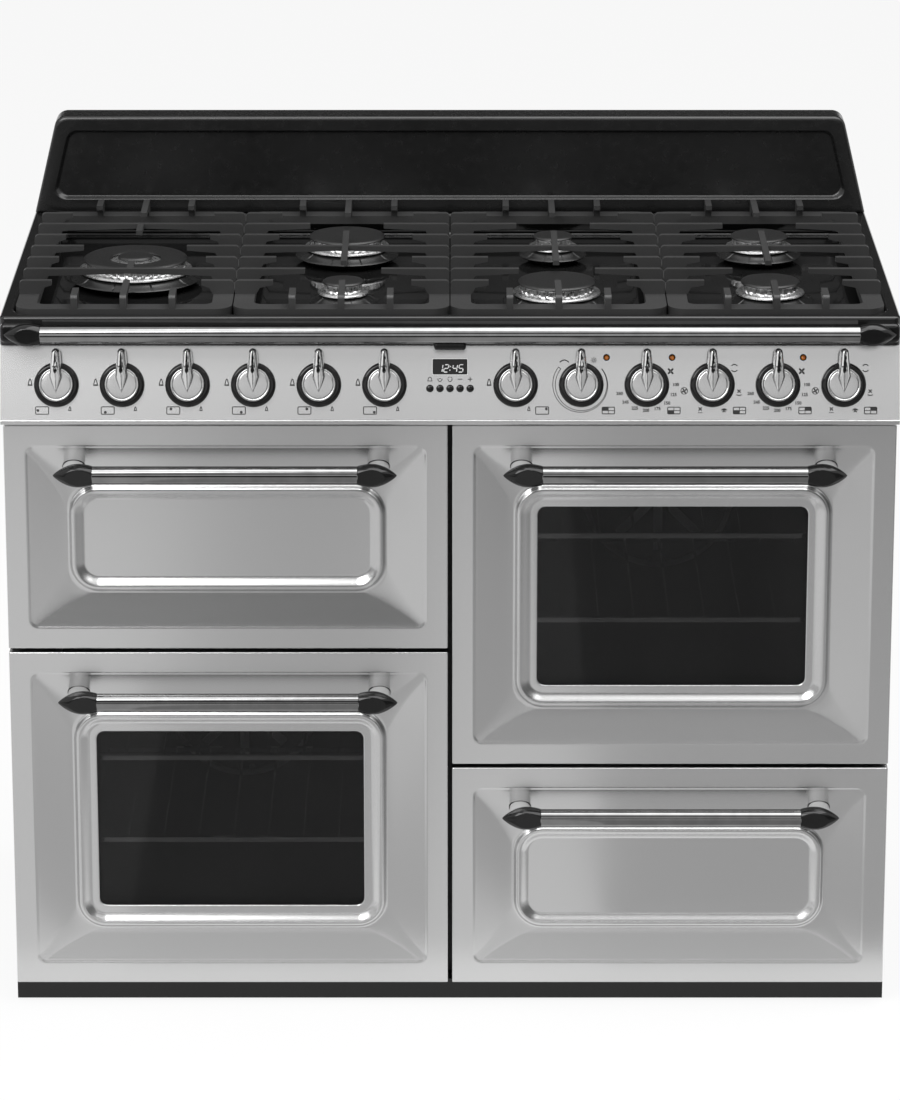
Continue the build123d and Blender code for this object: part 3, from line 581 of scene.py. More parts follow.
def cut_notches(mesh, joint, low, high):
    """Cut a slot into the hinged edge at each of the two hinges."""
    along = int(np.argmax(np.abs(joint["axis"])))
    spots = (low[along] + hinge_inset, high[along] - hinge_inset)
    cutter = add_object("cutter", make_mesh("cutter", [notch_block(joint, low, spot) for spot in spots]))
    work = add_object("work", mesh)
    cut = work.modifiers.new("notch", "BOOLEAN")
    cut.object = cutter
    cut.solver = "EXACT"
    result = bpy.data.meshes.new_from_object(work.evaluated_get(bpy.context.evaluated_depsgraph_get()))
    for thing in (cutter, work):
        bpy.data.objects.remove(thing)
    result.set_sharp_from_angle(angle=radians(crease))
    return result


fronts = {
    "grill_door": ("grill_door_skin", "grill_door_drop", False),
    "left_oven_door": ("left_oven_door_skin", "left_oven_door_swing", True),
    "right_oven_door": ("right_oven_door_skin", "right_oven_door_swing", True),
    "drawer": ("drawer_front", None, False),
}
for body, (node, joint, window) in fronts.items():
    low, high = corners_of(node)
    skin = make_mesh(f"{body}_face", [pressed_front(low, high, window)])
    if joint:
        skin = cut_notches(skin, joints[joint], low, high)
    put(f"{body}_face", skin, steel, body, "brushed_steel", node)

# %% [markdown]
# ## Handles and rail
# A handle is a chrome tube between two black ends, and the rail along the hob is a longer one. Each end is a
# spindle: it leaves the tube, swells and runs out to a point, and its front is cut flat, which leaves an
# almond facet. A spindle could be modelled from a sphere, but a turned profile that is cut by one plane gives
# the same shape in two lines. A post on a thin black gasket carries each end on the sheet behind it.

# %% Tubes and spindles
tube_edge = 0.6 * MM
post_edge = 1 * MM
belly_at = 0.36
facet_share = 0.74


def tube_along_x(low, high):
    """A chrome tube that fills its box along X, with softened ends."""
    radius = (high[2] - low[2]) / 2
    half = (high[0] - low[0]) / 2
    rim, end = radius - tube_edge, half - tube_edge
    profile = [(0, -half), (rim, -half), (radius, -end), (radius, end), (rim, half), (0, half)]
    return turned(profile, (low + high) / 2, x_axis, (0, 0, 1), steps=72)


def spindle(start, side, length, neck, belly):
    """A pointed end: radius grows from neck to belly by a sine, then falls to the tip by a cosine.

    Its front is cut flat: no point lies further forward than a share of the belly.
    """
    s = np.linspace(0, 1, 49)
    swell = neck + (belly - neck) * np.sin(pi / 2 * np.minimum(s / belly_at, 1))
    fall = np.cos(pi / 2 * np.clip((s - belly_at) / (1 - belly_at), 0, 1)) ** 0.8
    radius = np.where(s < belly_at, swell, belly * fall)
    profile = np.vstack([[0, 0], np.column_stack([radius, s * length])])
    points, faces = turned(profile, start, (side, 0, 0), (0, 0, 1), steps=96)
    points[:, 1] = np.maximum(points[:, 1], start[1] - facet_share * belly)
    return points, faces


def post(centre, size, front, back):
    """An oval post along Y between two depths: an ellipse of the given size, drawn in at both ends."""
    t = np.linspace(0, 2 * pi, 40, endpoint=False)
    radii = size / 2 - np.array([post_edge, 0, 0, post_edge])[:, None]
    outline = centre + radii[:, None] * np.column_stack([np.cos(t), np.sin(t)])
    return stack(rings_across(1, outline, (front, front + post_edge, back - post_edge, back)))


print("a handle end is widest at", belly_at, "of its length")

# %% Make the handles
cap_length = 48 * MM
cap_belly = 14.5 * MM
neck_step = 0.4 * MM
post_offset = 25 * MM
post_front = 2 * MM
post_size = np.array([26, 16]) * MM
gasket_size = np.array([28, 18]) * MM
gasket_front = 4 * MM
seat_depth = 10 * MM
for body, (node, joint, window) in fronts.items():
    low, high = corners_of(f"{body}_handle_bar")
    middle = (low + high) / 2
    neck = (high[2] - low[2]) / 2 + neck_step
    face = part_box(node)[0][1]
    ends, posts, gaskets = [], [], []
    for side, x in ((-1, low[0]), (1, high[0])):
        foot = np.array([x + side * post_offset, middle[2]])
        ends.append(spindle(np.array([x, *middle[1:]]), side, cap_length, neck, cap_belly))
        posts.append(post(foot, post_size, middle[1] + post_front, face + seat_depth))
        gaskets.append(post(foot, gasket_size, face + gasket_front, face + seat_depth))
    handle = f"{body}_handle"
    tube = make_mesh("tube", [tube_along_x(low, high)])
    put(f"{handle}_tube", tube, bar_chrome, body, "chrome", f"{handle}_bar")
    put(f"{handle}_tips", make_mesh("tips", ends), black_gloss, body, "black_gloss", f"{handle}_ends")
    put(f"{handle}_posts", make_mesh("posts", posts), post_grey, body, "chrome")
    put(f"{handle}_gaskets", make_mesh("gaskets", gaskets), black_gloss, body, "black_gloss")

# %% [markdown]
# The rail's ends are the same spindles. Behind each sits a corner casting on the hob's skirt, and a small
# bracket holds the rail from below in the middle. Both are blocks with a rounded front, which a Bevel on a
# cube could give, but a stack of rounded boxes keeps the back edge square on the skirt.

# %% Make the rail
rail_cap = 44 * MM
rail_belly = 14 * MM
corner_start = 8 * MM
corner_inset = 1.5 * MM
corner_proud = 14 * MM
corner_half_height = 12 * MM
corner_round = 5 * MM
bracket_half = 19.5 * MM
bracket_proud = 6 * MM
bracket_height = 9 * MM
bracket_round = 3 * MM
skirt_seat = 1 * MM
rail_low, rail_high = corners_of("rail_bar")
rail_mid = (rail_low + rail_high) / 2
rail_neck = rail_high[2] - rail_mid[2] + neck_step
hob_low, hob_high = corners_of("hob_top")


def soft_block(low, high, radius, steps=5):
    """A block whose outline across X and Z is rounded, with a rounded front edge towards -Y.

    The last rings draw in by radius * (1 - cos) while they come forward by radius * sin.
    """
    t = np.linspace(0, pi / 2, steps)
    inset = np.concatenate([[0], radius * (1 - np.cos(t))])
    depth = np.concatenate([[high[1]], low[1] + radius * (1 - np.sin(t))])
    corners = box_corners(low[0] + inset, high[0] - inset, low[2] + inset, high[2] - inset)
    outline = rounded_outline(corners, np.repeat((1.3 * radius - inset)[:, None], 4, 1), steps)
    return stack(rings_across(1, outline, depth))


rail_parts = []
for side, x in ((-1, rail_low[0]), (1, rail_high[0])):
    rail_parts.append(spindle(np.array([x, *rail_mid[1:]]), side, rail_cap, rail_neck, rail_belly))
    left, right = sorted((x + side * corner_start, side * (hob_high[0] - corner_inset)))
    low = (left, hob_low[1] - corner_proud, rail_mid[2] - corner_half_height)
    high = (right, hob_low[1] + skirt_seat, rail_mid[2] + corner_half_height)
    rail_parts.append(soft_block(low, high, corner_round))
low = (-bracket_half, rail_mid[1] - bracket_proud, hob_low[2])
high = (bracket_half, hob_low[1] + skirt_seat, hob_low[2] + bracket_height)
rail_parts.append(soft_block(low, high, bracket_round))
rail_tube = make_mesh("tube", [tube_along_x(rail_low, rail_high)])
put("rail_tube", rail_tube, bar_chrome, "body", "chrome", "rail_bar")
put("rail_castings", make_mesh("castings", rail_parts), black_gloss, "body", "black_gloss", "rail_ends")

# %% [markdown]
# ## Control panel
# The panel is a folded sheet: a lip, a sloped face and a return under the hob. Its section is a polygon with
# small radii at the folds, carried along the width. A second, smaller section inside it gives the sheet its
# thickness, so that buttons and shafts have room behind it. A bead along the lip stands a little proud.

# %% Fold the panel
fold_radius = 2.5 * MM
lip_height = 6 * MM
lip_reach = 2 * MM
lip_round = 1.5 * MM
panel_low, panel_high = corners_of("control_panel")
knob_axis = np.array(joints["knob_01_turn"]["axis"])
tilt = atan2(knob_axis[2], -knob_axis[1])
up_slope = np.array([0, sin(tilt), cos(tilt)])
lean = np.tan(tilt) * (panel_high[2] - panel_low[2] - lip_height)
left, front, bottom = panel_low
right, rear, top = panel_high
section = np.array([
    (rear, bottom), (rear, top), (front + lean, top), (front, bottom + lip_height), (front, bottom),
])
outside = rounded_outline(section, np.full(5, fold_radius))
inside = rounded_outline(inset_corners(section, sheet), np.full(5, fold_radius - sheet))
wall = rings_across(0, [outside, outside, inside, inside], [left, right, right, left])
panel_shells = [stack(wall, closed_rows=True)]
for x in (left, right - sheet):
    panel_shells.append(stack(rings_across(0, [inside, inside], [x, x + sheet])))
put("panel_sheet", make_mesh("panel", panel_shells), steel, "body", "brushed_steel", "control_panel")
bead = rounded_box(front - lip_reach, front + sheet, bottom, bottom + lip_height, lip_round)
lip_mesh = make_mesh("lip", [stack(rings_across(0, [bead, bead], [left, right]))])
put("panel_lip", lip_mesh, steel, "body", "brushed_steel")

# %% [markdown]
# ## Knobs
# Each knob is a satin disc in a black ring, with a chrome lever across it. The ring and the disc are turned.
# The lever is a profile carried along a path: at each place from tail to tip its section is an arch with its
# own width and height. It could be modelled from a subdivided cube, but then its waist and ridge would be
# hard to set in millimetres. A dark inlay shaped like a drop shows where the knob points.

# %% Rings and discs
ring_profile = np.array([
    (21.5, 2), (21.5, 7.1), (21.9, 7.8), (22.8, 8), (24.6, 7.8), (26.2, 6.8), (27.2, 5), (27.5, 2.6),
    (27.5, 0), (8, 0), (8, -14), (4.05, -14), (4.05, 2),
]) * MM
disc_profile = np.array([
    (0, 12.3), (9, 12.3), (16.4, 12.1), (17.6, 11.8), (18, 11.4), (18.5, 11.7), (19.2, 12), (20, 11.9),
    (20.5, 11.5), (20.75, 10.8), (20.75, 2.6), (4, 2.6), (4, -22), (0, -22),
]) * MM
knob_names = [f"knob_{number:02d}" for number in range(1, 13)]
knob_spots = {name: np.array(joints[f"{name}_turn"]["pos_m"]) for name in knob_names}


def turned_out(profile, spot, steps=72, closed=False):
    """A profile turned about the axis that stands square on the panel at a spot."""
    return turned(profile, spot, knob_axis, x_axis, steps, closed=closed)


rings = [turned_out(ring_profile, spot, closed=True) for spot in knob_spots.values()]
put("knob_rings", make_mesh("rings", rings), black_gloss, "body", "black_gloss", "knob_bezels")

# %% Levers
tail, wide_at, waist, tip = (v * MM for v in (-10, 9.5, 38.5, 44))
widest, narrow, least = 8.25 * MM, 5.5 * MM, 0.2 * MM
lever_foot = 9 * MM
crest_low, crest_rise, crest_at, tip_fall = (v * MM for v in (13, 13, 24, 7))
arch_power = 2.6
groove_depth = 1.6 * MM
drop_low, drop_high, drop_fat = (v * MM for v in (14, 40, 2.5))
inlay_depths = (1.9 * MM, 0.55 * MM)


def lever_half_width(p):
    """Half the lever's width at place p.

    It opens from the tail by a power, narrows evenly to the waist and ends in a half circle.
    """
    open_part = widest * np.clip((p - tail) / (wide_at - tail), 0, 1) ** 0.85
    neck_part = widest + (narrow - widest) * np.clip((p - wide_at) / (waist - wide_at), 0, 1)
    end_part = np.sqrt(np.maximum(narrow ** 2 - np.maximum(p - waist, 0) ** 2, 0))
    return np.maximum(np.where(p < wide_at, open_part, np.where(p < waist, neck_part, end_part)), least)


def lever_crest(p):
    """Height of the lever's ridge at place p: an eased rise from the tail, with a rounded tip."""
    s = np.clip((p - tail) / (crest_at - tail), 0, 1)
    fall = tip_fall * np.clip((p - waist) / (tip - waist), 0, 1) ** 2.5
    return crest_low + crest_rise * s * s * (3 - 2 * s) - fall


def drop_half_width(p):
    """Half the width of the drop: round at its low end, narrowing evenly to a point near the tip."""
    s = np.clip((p - drop_low) / (drop_high - drop_low), 0, 1)
    return drop_fat * np.sqrt(np.clip(s / 0.12, 0, 1)) * (1 - 0.8 * s)


def on_knob(spot, across, along, out):
    """Points from their distance across a knob, up the panel's slope and out from it."""
    return spot + across[..., None] * x_axis + along[..., None] * up_slope + out[..., None] * knob_axis


def lever(spot):
    """The lever's shell: arches (1 - |v|^n)^(1/n) across, from tail to tip.

    A drop is pressed into the ridge: a half ellipse across, as deep as the groove.
    """
    p = np.concatenate([np.linspace(tail, wide_at, 14), np.linspace(wide_at + 1 * MM, waist, 22),
                        waist + narrow * np.sin(np.linspace(0.15, pi / 2, 9))])[:, None]
    v = np.sin(pi / 2 * np.linspace(-1, 1, 45))[None, :]
    across = lever_half_width(p) * v
    arch = (1 - np.abs(v) ** arch_power) ** (1 / arch_power)
    inside = 1 - (across / np.maximum(drop_half_width(p), 0.01 * MM)) ** 2
    height = lever_foot + (lever_crest(p) - lever_foot) * arch - groove_depth * np.clip(inside, 0, 1) ** 0.5
    return stack(on_knob(spot, across, p, height))


def drop_inlay(spot):
    """The dark drop in the groove: two outlines of its edge, one above the other."""
    p = drop_low + (drop_high - drop_low) * (1 - np.cos(np.linspace(0, pi, 25))) / 2
    half = drop_half_width(p) * 0.96
    p = np.concatenate([p, p[::-1]])
    across = np.concatenate([half, -half[::-1]])
    return stack(np.stack([on_knob(spot, across, p, lever_crest(p) - depth) for depth in inlay_depths]))


for name, spot in knob_spots.items():
    disc = make_mesh("disc", [turned_out(disc_profile, spot)])
    put(f"{name}_disc", disc, disc_chrome, name, "chrome", name)
    put(f"{name}_lever", make_mesh("lever", [lever(spot)], sharp=60), chrome, name, "chrome")
    put(f"{name}_drop", make_mesh("drop", [drop_inlay(spot)]), black_gloss, name, "black_gloss")

# %% [markdown]
# ## Timer and lamps
# The timer is a dark window with slanted digits over five domed buttons, and three amber lamps sit beside the
# oven knobs. All of them lie on the sloped panel, so they are drawn flat, in millimetres from the middle of
# the knob row, and one function lays them on the slope. A digit is a set of bars, as on a real display.

# %% Lay things on the panel
ink_height = 0.12
ink_lift = 0.02
face_middle = knob_spots["knob_01"] * np.array([0, 1, 1])
slope_frame = np.array([x_axis, up_slope, knob_axis])


def on_panel(flat, x=0, row=0, lift=0):
    """Points (across, up, out) in millimetres, laid on the panel's slope at x and row, raised by lift."""
    shifted = np.asarray(flat, float) + np.array([x, row, lift])
    return face_middle + shifted * MM @ slope_frame


def laid(shells, x, row, lift=ink_lift):
    """Flat shells laid on the panel at x and row."""
    return [(on_panel(points, x, row, lift), faces) for points, faces in shells]


def plate(outline, low=0, high=ink_height):
    """A flat plate with the given outline, between two heights."""
    return stack(rings_across(2, [outline, outline], (low, high)))


def ribbon(path, width, high=ink_height):
    """A printed line along a path: at each point its section is a low box, square to the line's direction."""
    path = np.asarray(path, float)
    along = np.gradient(path, axis=0)
    along /= np.linalg.norm(along, axis=1, keepdims=True)
    left = np.column_stack([-along[:, 1], along[:, 0]]) * width / 2
    sides = [(left, 0), (-left, 0), (-left, high), (left, high)]
    return stack(np.stack([np.column_stack([path + s, np.full(len(path), h)]) for s, h in sides], 1))


def stroke(start, end, width, high=ink_height):
    """A straight printed line."""
    return ribbon(np.linspace(start, end, 3), width, high)


def arc(x, y, radius, start, end, steps=20):
    """Points of a circle's arc between two angles in degrees."""
    t = np.radians(np.linspace(start, end, steps))
    return np.column_stack([x + radius * np.cos(t), y + radius * np.sin(t)])


print("the panel leans back by", round(np.degrees(tilt), 1), "degrees")

# %% Timer window and digits
window_row = 22
half_window = np.array([21.3, 9.5])
window_round = 1.6
trim_gap, trim_round, trim_width, trim_rise = 0.4, 2, 0.9, 1
digit_size = np.array([5.2, 9])
digit_drop = 2
digit_slant = 0.16
glass_top = 1.3
bar_share, bar_width, bar_height = 0.8, 1.25, 0.1
figure_places = {-14.4: "1", -7.2: "2", 3.4: "4", 10.8: "5"}
segment_ends = {
    "a": ((0, 2), (1, 2)), "b": ((1, 2), (1, 1)), "c": ((1, 1), (1, 0)), "d": ((0, 0), (1, 0)),
    "e": ((0, 1), (0, 0)), "f": ((0, 2), (0, 1)), "g": ((0, 1), (1, 1)),
}
digit_segments = {"1": "bc", "2": "abged", "4": "fgbc", "5": "afgcd"}


def digit(figure, x):
    """A figure of slanted bars, each a ribbon a little shorter than its side of the figure."""
    bars = []
    for name in digit_segments[figure]:
        ends = np.array(segment_ends[name], float)
        ends = ends.mean(0) + (ends - ends.mean(0)) * bar_share
        ends = ends * digit_size * np.array([1, 0.5]) - np.array([0, digit_size[1] / 2])
        ends[:, 0] += x + digit_slant * ends[:, 1]
        bars.append(stroke(*ends, bar_width, bar_height))
    return bars


def framed_window():
    """The timer's glass: rounded boxes from the panel to a bevelled front face."""
    inset, height = np.array([0, 0, 0.5, 1]), np.array([-1, 0.9, glass_top, glass_top])
    across, upright = half_window[:, None] - inset
    corners = box_corners(-across, across, -upright, upright)
    outline = rounded_outline(corners, np.full((4, 4), window_round) - inset[:, None])
    return stack(rings_across(2, outline, height))


across, upright = half_window + trim_gap
rim_path = rounded_box(-across, across, -upright, upright, trim_round)
rim = ribbon(np.vstack([rim_path, rim_path[:1]]), trim_width, trim_rise)
figures = [bar for x, figure in figure_places.items() for bar in digit(figure, x)]
figures += [plate(arc(0.2 + y * digit_slant, y, 0.75, 0, 342), 0, bar_height) for y in (-2.2, 2.2)]
glass_mesh = make_mesh("window", laid([framed_window()], 0, window_row))
digit_mesh = make_mesh("digits", laid(figures, 0, window_row - digit_drop, glass_top))
put("timer_window", glass_mesh, black_gloss, "body", "black_gloss", "panel_lights")
put("timer_rim", make_mesh("rim", laid([rim], 0, window_row)), satin_chrome, "body", "chrome")
put("timer_digits", digit_mesh, display_white, "body", "lens")

# %% Buttons and lamps
button_profile = np.array([
    (0, 3.5), (1.6, 3.4), (3, 3), (4, 2.3), (4.55, 1.3), (4.7, 0.4), (4.7, -2), (5.35, -2), (5.35, -4.5),
    (0, -4.5),
]) * MM
lamp_profile = np.array([(0, 2.6), (1.4, 2.4), (2.4, 1.8), (3, 0.8), (3, -3), (0, -3)]) * MM
lamp_ring_profile = np.array([
    (3, 0.9), (3.2, 1.2), (3.7, 1.1), (4.1, 0.6), (4.2, 0), (4.2, -0.4), (3, -0.4),
]) * MM
lamp_row = 33.4
lamp_side = 31
lamp_knobs = ("knob_08", "knob_09", "knob_11")
for number in range(1, 6):
    name = f"timer_button_{number}"
    middle = np.mean(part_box(name), 0)
    spot = middle - knob_axis * ((middle - face_middle) @ knob_axis)
    button = make_mesh("button", [turned_out(button_profile, spot, 48)])
    put(f"{name}_dome", button, black_gloss, name, "black_gloss", name)
lamp_spots = [on_panel([0, 0, 0], knob_spots[name][0] / MM + lamp_side, lamp_row) for name in lamp_knobs]
lamp_shells = [turned_out(lamp_profile, spot, 40) for spot in lamp_spots]
ring_shells = [turned_out(lamp_ring_profile, spot, closed=True) for spot in lamp_spots]
put("panel_lamps", make_mesh("lamps", lamp_shells), lens, "body", "lens")
put("lamp_rings", make_mesh("rings", ring_shells), black_gloss, "body", "black_gloss")

# %% [markdown]
# ## Printed marks
# Dark ink on the panel says what each knob does: flames and a dotted plan of the hob for gas, temperatures
# for the ovens, and small signs for fan, heat and lamp. A painted texture would need a picture file. Instead
# each sign is a few ribbons and plates a tenth of a millimetre high, and numbers are text made into a mesh.
# Signs are drawn in millimetres about their own middle, then moved to their place beside a knob.


# %% Small signs
def moved(shells, x, y):
    """Flat shells shifted on the panel."""
    return [(points + np.array([x, y, 0]), faces) for points, faces in shells]


def rotated(points, angle):
    """Flat points turned about the middle, by an angle in radians."""
    return points @ np.array([[cos(angle), sin(angle)], [-sin(angle), cos(angle)]])


def flame(size):
    """A gas flame: two sides that lean to a point, on a dark foot."""
    s = np.linspace(0, 1, 9)
    side = 0.27 * size * (1 - s) ** 0.8 * (1 + 0.5 * s)
    sides = [np.column_stack([sign * side, size * (s - 0.5)]) for sign in (-1, 1)]
    foot = np.array([(-0.3, -0.5), (0.3, -0.5), (0.26, -0.3), (-0.26, -0.3)]) * size
    return [ribbon(line, max(0.13 * size, 1)) for line in sides] + [plate(foot)]


def dot(x, y, radius):
    """A round dot."""
    return plate(arc(x, y, radius, 0, 345, 24))


def fan(size, turn=45):
    """A fan: four oval blades about the middle."""
    oval = arc(0, 0, 1, 0, 340, 18) * np.array([0.3, 0.17]) * size + np.array([0.34 * size, 0])
    return [plate(rotated(oval, radians(turn + 90 * quarter))) for quarter in range(4)]


def bow(y, width, rise):
    """A shallow bow that stands for a heater above or below the food."""
    s = np.linspace(-1, 1, 13)
    return ribbon(np.column_stack([s * width / 2, y + rise * (1 - s * s)]), 1.2)


def toothed_bow(width, rise):
    """A grill heater: a bow whose line swings up and down."""
    s = np.linspace(-1, 1, 29)
    return ribbon(np.column_stack([s * width / 2, rise * (1 - s * s) + 0.45 * np.cos(7 * pi * s)]), 1.1)


def lamp_sign():
    """An oven lamp: a ring with eight rays."""
    ray = np.linspace((2.2, 0), (3.8, 0), 3)
    rays = [ribbon(rotated(ray, radians(angle)), 0.8) for angle in range(0, 360, 45)]
    return rays + [ribbon(arc(0, 0, 1.4, 0, 375, 26), 0.8)]


print("shells of a flame, a fan and a lamp:", len(flame(1)), len(fan(1)), len(lamp_sign()))


# %% Plans and numbers
def frame_line(width, height, line=1.1):
    """A rectangle with rounded corners, drawn as one closed line."""
    path = rounded_box(-width / 2, width / 2, -height / 2, height / 2, 1.2)
    return ribbon(np.vstack([path, path[:2]]), line)


def oven_plan(column, row):
    """The cooker's four spaces, with the one that a knob serves filled in."""
    width, height = 15.2, 8.2
    upright = stroke((0, -height / 2), (0, height / 2), 0.8)
    level = stroke((-width / 2, 0), (width / 2, 0), 0.8)
    middle = np.array([column * width, row * height]) / 4
    corners = middle + np.array([(-1, -1), (1, -1), (1, 1), (-1, 1)]) * (width / 4, height / 4)
    return [frame_line(width, height), upright, level, plate(corners)]


def number(text, size=5.4):
    """A number as a mesh: set in the plain built-in face, then read back as points and faces."""
    words = bpy.data.curves.new("number", "FONT")
    words.body = text
    words.size = size
    words.extrude = ink_height / 2
    words.offset = 0.2
    words.resolution_u = 3
    words.align_x = words.align_y = "CENTER"
    holder = add_object("number", words)
    mesh = bpy.data.meshes.new_from_object(holder.evaluated_get(bpy.context.evaluated_depsgraph_get()))
    points = np.empty(len(mesh.vertices) * 3)
    mesh.vertices.foreach_get("co", points)
    faces = [list(face.vertices) for face in mesh.polygons]
    bpy.data.objects.remove(holder)
    bpy.data.meshes.remove(mesh)
    return points.reshape(-1, 3), faces


print("points of a number:", len(number("100")[0]))

# %% Marks of each knob
sign_row = -31.5
dot_places = [(-5.2, 0), (-2.9, -2.1), (-2.9, 1.9), (2.9, -2.1), (2.9, 1.9), (5.2, -2.1), (5.2, 1.9)]
heats = ("100", "125", "150", "175", "200", "225", "245", "260")
heat_angles = np.radians(np.linspace(0, -160, len(heats)))
heat_ellipse = (35.4, 31.5)


def gas_marks(place):
    """Marks of a gas knob: a large flame, a small flame, and the hob's plan with a dot for this burner."""
    plan = [frame_line(15.9, 9), dot(*dot_places[place], 1.7)]
    plan_x = 32.5 if place == 6 else -17.6
    return moved(flame(8.6), -32.4, 3) + moved(flame(5.4), 16.3, -29.4) + moved(plan, plan_x, sign_row)


def grill_marks():
    """Marks of the grill knob: a wedge that widens round the ring, a grill heater and a lamp."""
    s = np.linspace(0, 1, 60)[:, None]
    around = arc(0, 0, 1, 38, -218, 60)
    inner, outer = around * 31.6, around * (32 + 3.2 * s)
    wedge = [ribbon(line, 0.8) for line in (inner, outer, np.linspace(inner[-1], outer[-1], 4))]
    return wedge + moved([toothed_bow(11, 2.6)], -20.6, 27.6) + moved(lamp_sign(), 15.4, 30)


def heat_marks():
    """Marks of a thermostat: temperatures round the ring and a fan."""
    shells = moved(fan(7.4), 29.2, 16.6)
    for text, angle in zip(heats, heat_angles):
        shells += moved([number(text)], heat_ellipse[0] * cos(angle), heat_ellipse[1] * sin(angle))
    return shells


def function_marks():
    """Marks of an oven's function knob: heaters above and below, and four fan functions."""
    both = [bow(2.6, 7, 1.8), bow(-2.6, 7, -1.8)]
    grill_fan = moved(fan(4.6), 0, -0.6) + [toothed_bow(6.4, 1.4)]
    base_fan = moved(fan(4.6), 0, 1.2) + [bow(-3, 6.4, -1)]
    fan_ring = fan(5.6, 30) + [ribbon(arc(0, 0, 4, 0, 372, 32), 0.9)]
    defrost = moved(fan(4.6), 0, 1.4) + [dot(x, -3, 0.7) for x in (-2, 0, 2)]
    places = [(both, 27, 20.5), (base_fan, 32.7, -9), (grill_fan, 14.4, -31), (defrost, -14.8, -31),
              (fan_ring, -34.4, -7.4)]
    return [shell for shells, x, y in places for shell in moved(shells, x, y)]


def timer_marks():
    """Signs over the timer's buttons: a bell, a pot, a steaming pot, less and more."""
    dome = ribbon(np.vstack([[[-2.6, -2]], arc(0, 0.4, 1.9, 180, 0, 12), [[2.6, -2]]]), 0.9)
    bell = [dome, stroke((-3, -2.2), (3, -2.2), 0.9)]
    pot = [ribbon(np.vstack([[[-2.8, 0.6]], arc(0, -0.6, 2.2, 200, 340, 9), [[2.8, 0.6]]]), 0.9)]
    lid = [stroke((-1.4, 0.8), (1.4, 0.8), 0.8)]
    steam = [stroke((x, 1.4), (0.35 * x, 2.8), 0.8) for x in (-2.4, 2.4)]
    less = [stroke((-2.8, 0), (2.8, 0), 1)]
    more = less + [stroke((0, -2.8), (0, 2.8), 1)]
    return [bell, pot + lid, pot + steam, less, more]


print("temperatures:", heats)

# %% Print the panel
plan_right = 33.2
button_pitch = 12.3
button_sign_row = 6.8
lower_left, upper_left, upper_right = (-1, -1), (-1, 1), (1, 1)
oven_knobs = {
    "knob_08": (grill_marks, upper_left), "knob_09": (heat_marks, lower_left),
    "knob_10": (function_marks, lower_left), "knob_11": (heat_marks, upper_right),
    "knob_12": (function_marks, upper_right),
}
ink_shells = []
for place, (name, spot) in enumerate(knob_spots.items()):
    if name in oven_knobs:
        marks, space = oven_knobs[name]
        shells = marks() + moved(oven_plan(*space), plan_right, sign_row)
    else:
        shells = gas_marks(place)
    ink_shells += laid(shells, spot[0] / MM, 0)
for step, shells in enumerate(timer_marks()):
    ink_shells += laid(shells, button_pitch * (step - 2), button_sign_row)
put("panel_marks", make_mesh("marks", ink_shells), ink, "body", "black_gloss")

# %% [markdown]
# ## Hob tray
# The hob is one enamelled pressing: a skirt, a rounded rim and a sunk well with soft corners. As with the
# fronts, it is a stack of rounded boxes, now lying flat: up the skirt, over the rim, down the wall and across
# the floor. The rows under it give the sheet its thickness.

# %% Press the hob
rim_side, rim_rear = 15 * MM, 48 * MM
rim_round = 4 * MM
floor_round = 7 * MM
wall_draw = 0.6 * MM
well_corner, skirt_corner = 30 * MM, 9 * MM
well_depth = 28 * MM
well_floor = hob_high[2] - well_depth


def hob_rows():
    """Rows of the hob: share of the rim (0 outside, 1 at the well), extra inset, height and corner radius.

    Five rows run under the sheet and down inside the skirt. Then come three quarter turns: over the rim's
    outer edge, over its inner edge and into the floor.
    """
    t = np.linspace(0, pi / 2, 6)
    rise, run = 1 - np.sin(t), 1 - np.cos(t)
    top, bottom = hob_high[2], hob_low[2]
    share = np.concatenate([[1, 1, 0, 0, 0], np.zeros(6), np.ones(12)])
    inset = np.concatenate([
        [-sheet, -sheet, sheet, sheet, 0], rim_round * run, -rim_round * rise, wall_draw + floor_round * run,
    ])
    height = np.concatenate([
        [well_floor - sheet, top - sheet, top - sheet, bottom, bottom],
        top - rim_round * rise, top - rim_round * run, well_floor + floor_round * rise,
    ])
    radius = np.where(share > 0, well_corner - 0.6 * inset, skirt_corner - 0.8 * inset)
    return share, inset, height, radius


share, inset, height, radius = hob_rows()
side, rear = share * rim_side + inset, share * rim_rear + inset
corners = box_corners(hob_low[0] + side, hob_high[0] - side, hob_low[1] + side, hob_high[1] - rear)
outline = rounded_outline(corners, np.repeat(radius[:, None], 4, 1))
hob_mesh = make_mesh("hob", [stack(rings_across(2, outline, height))])
put("hob_tray", hob_mesh, black_enamel, "body", "black_enamel", "hob_top")

# %% [markdown]
# ## Splashback
# A tapered upstand in the same enamel, with a recessed field. Its outline is a trapezium, so each row draws
# that trapezium in by its inset before the corners are rounded.

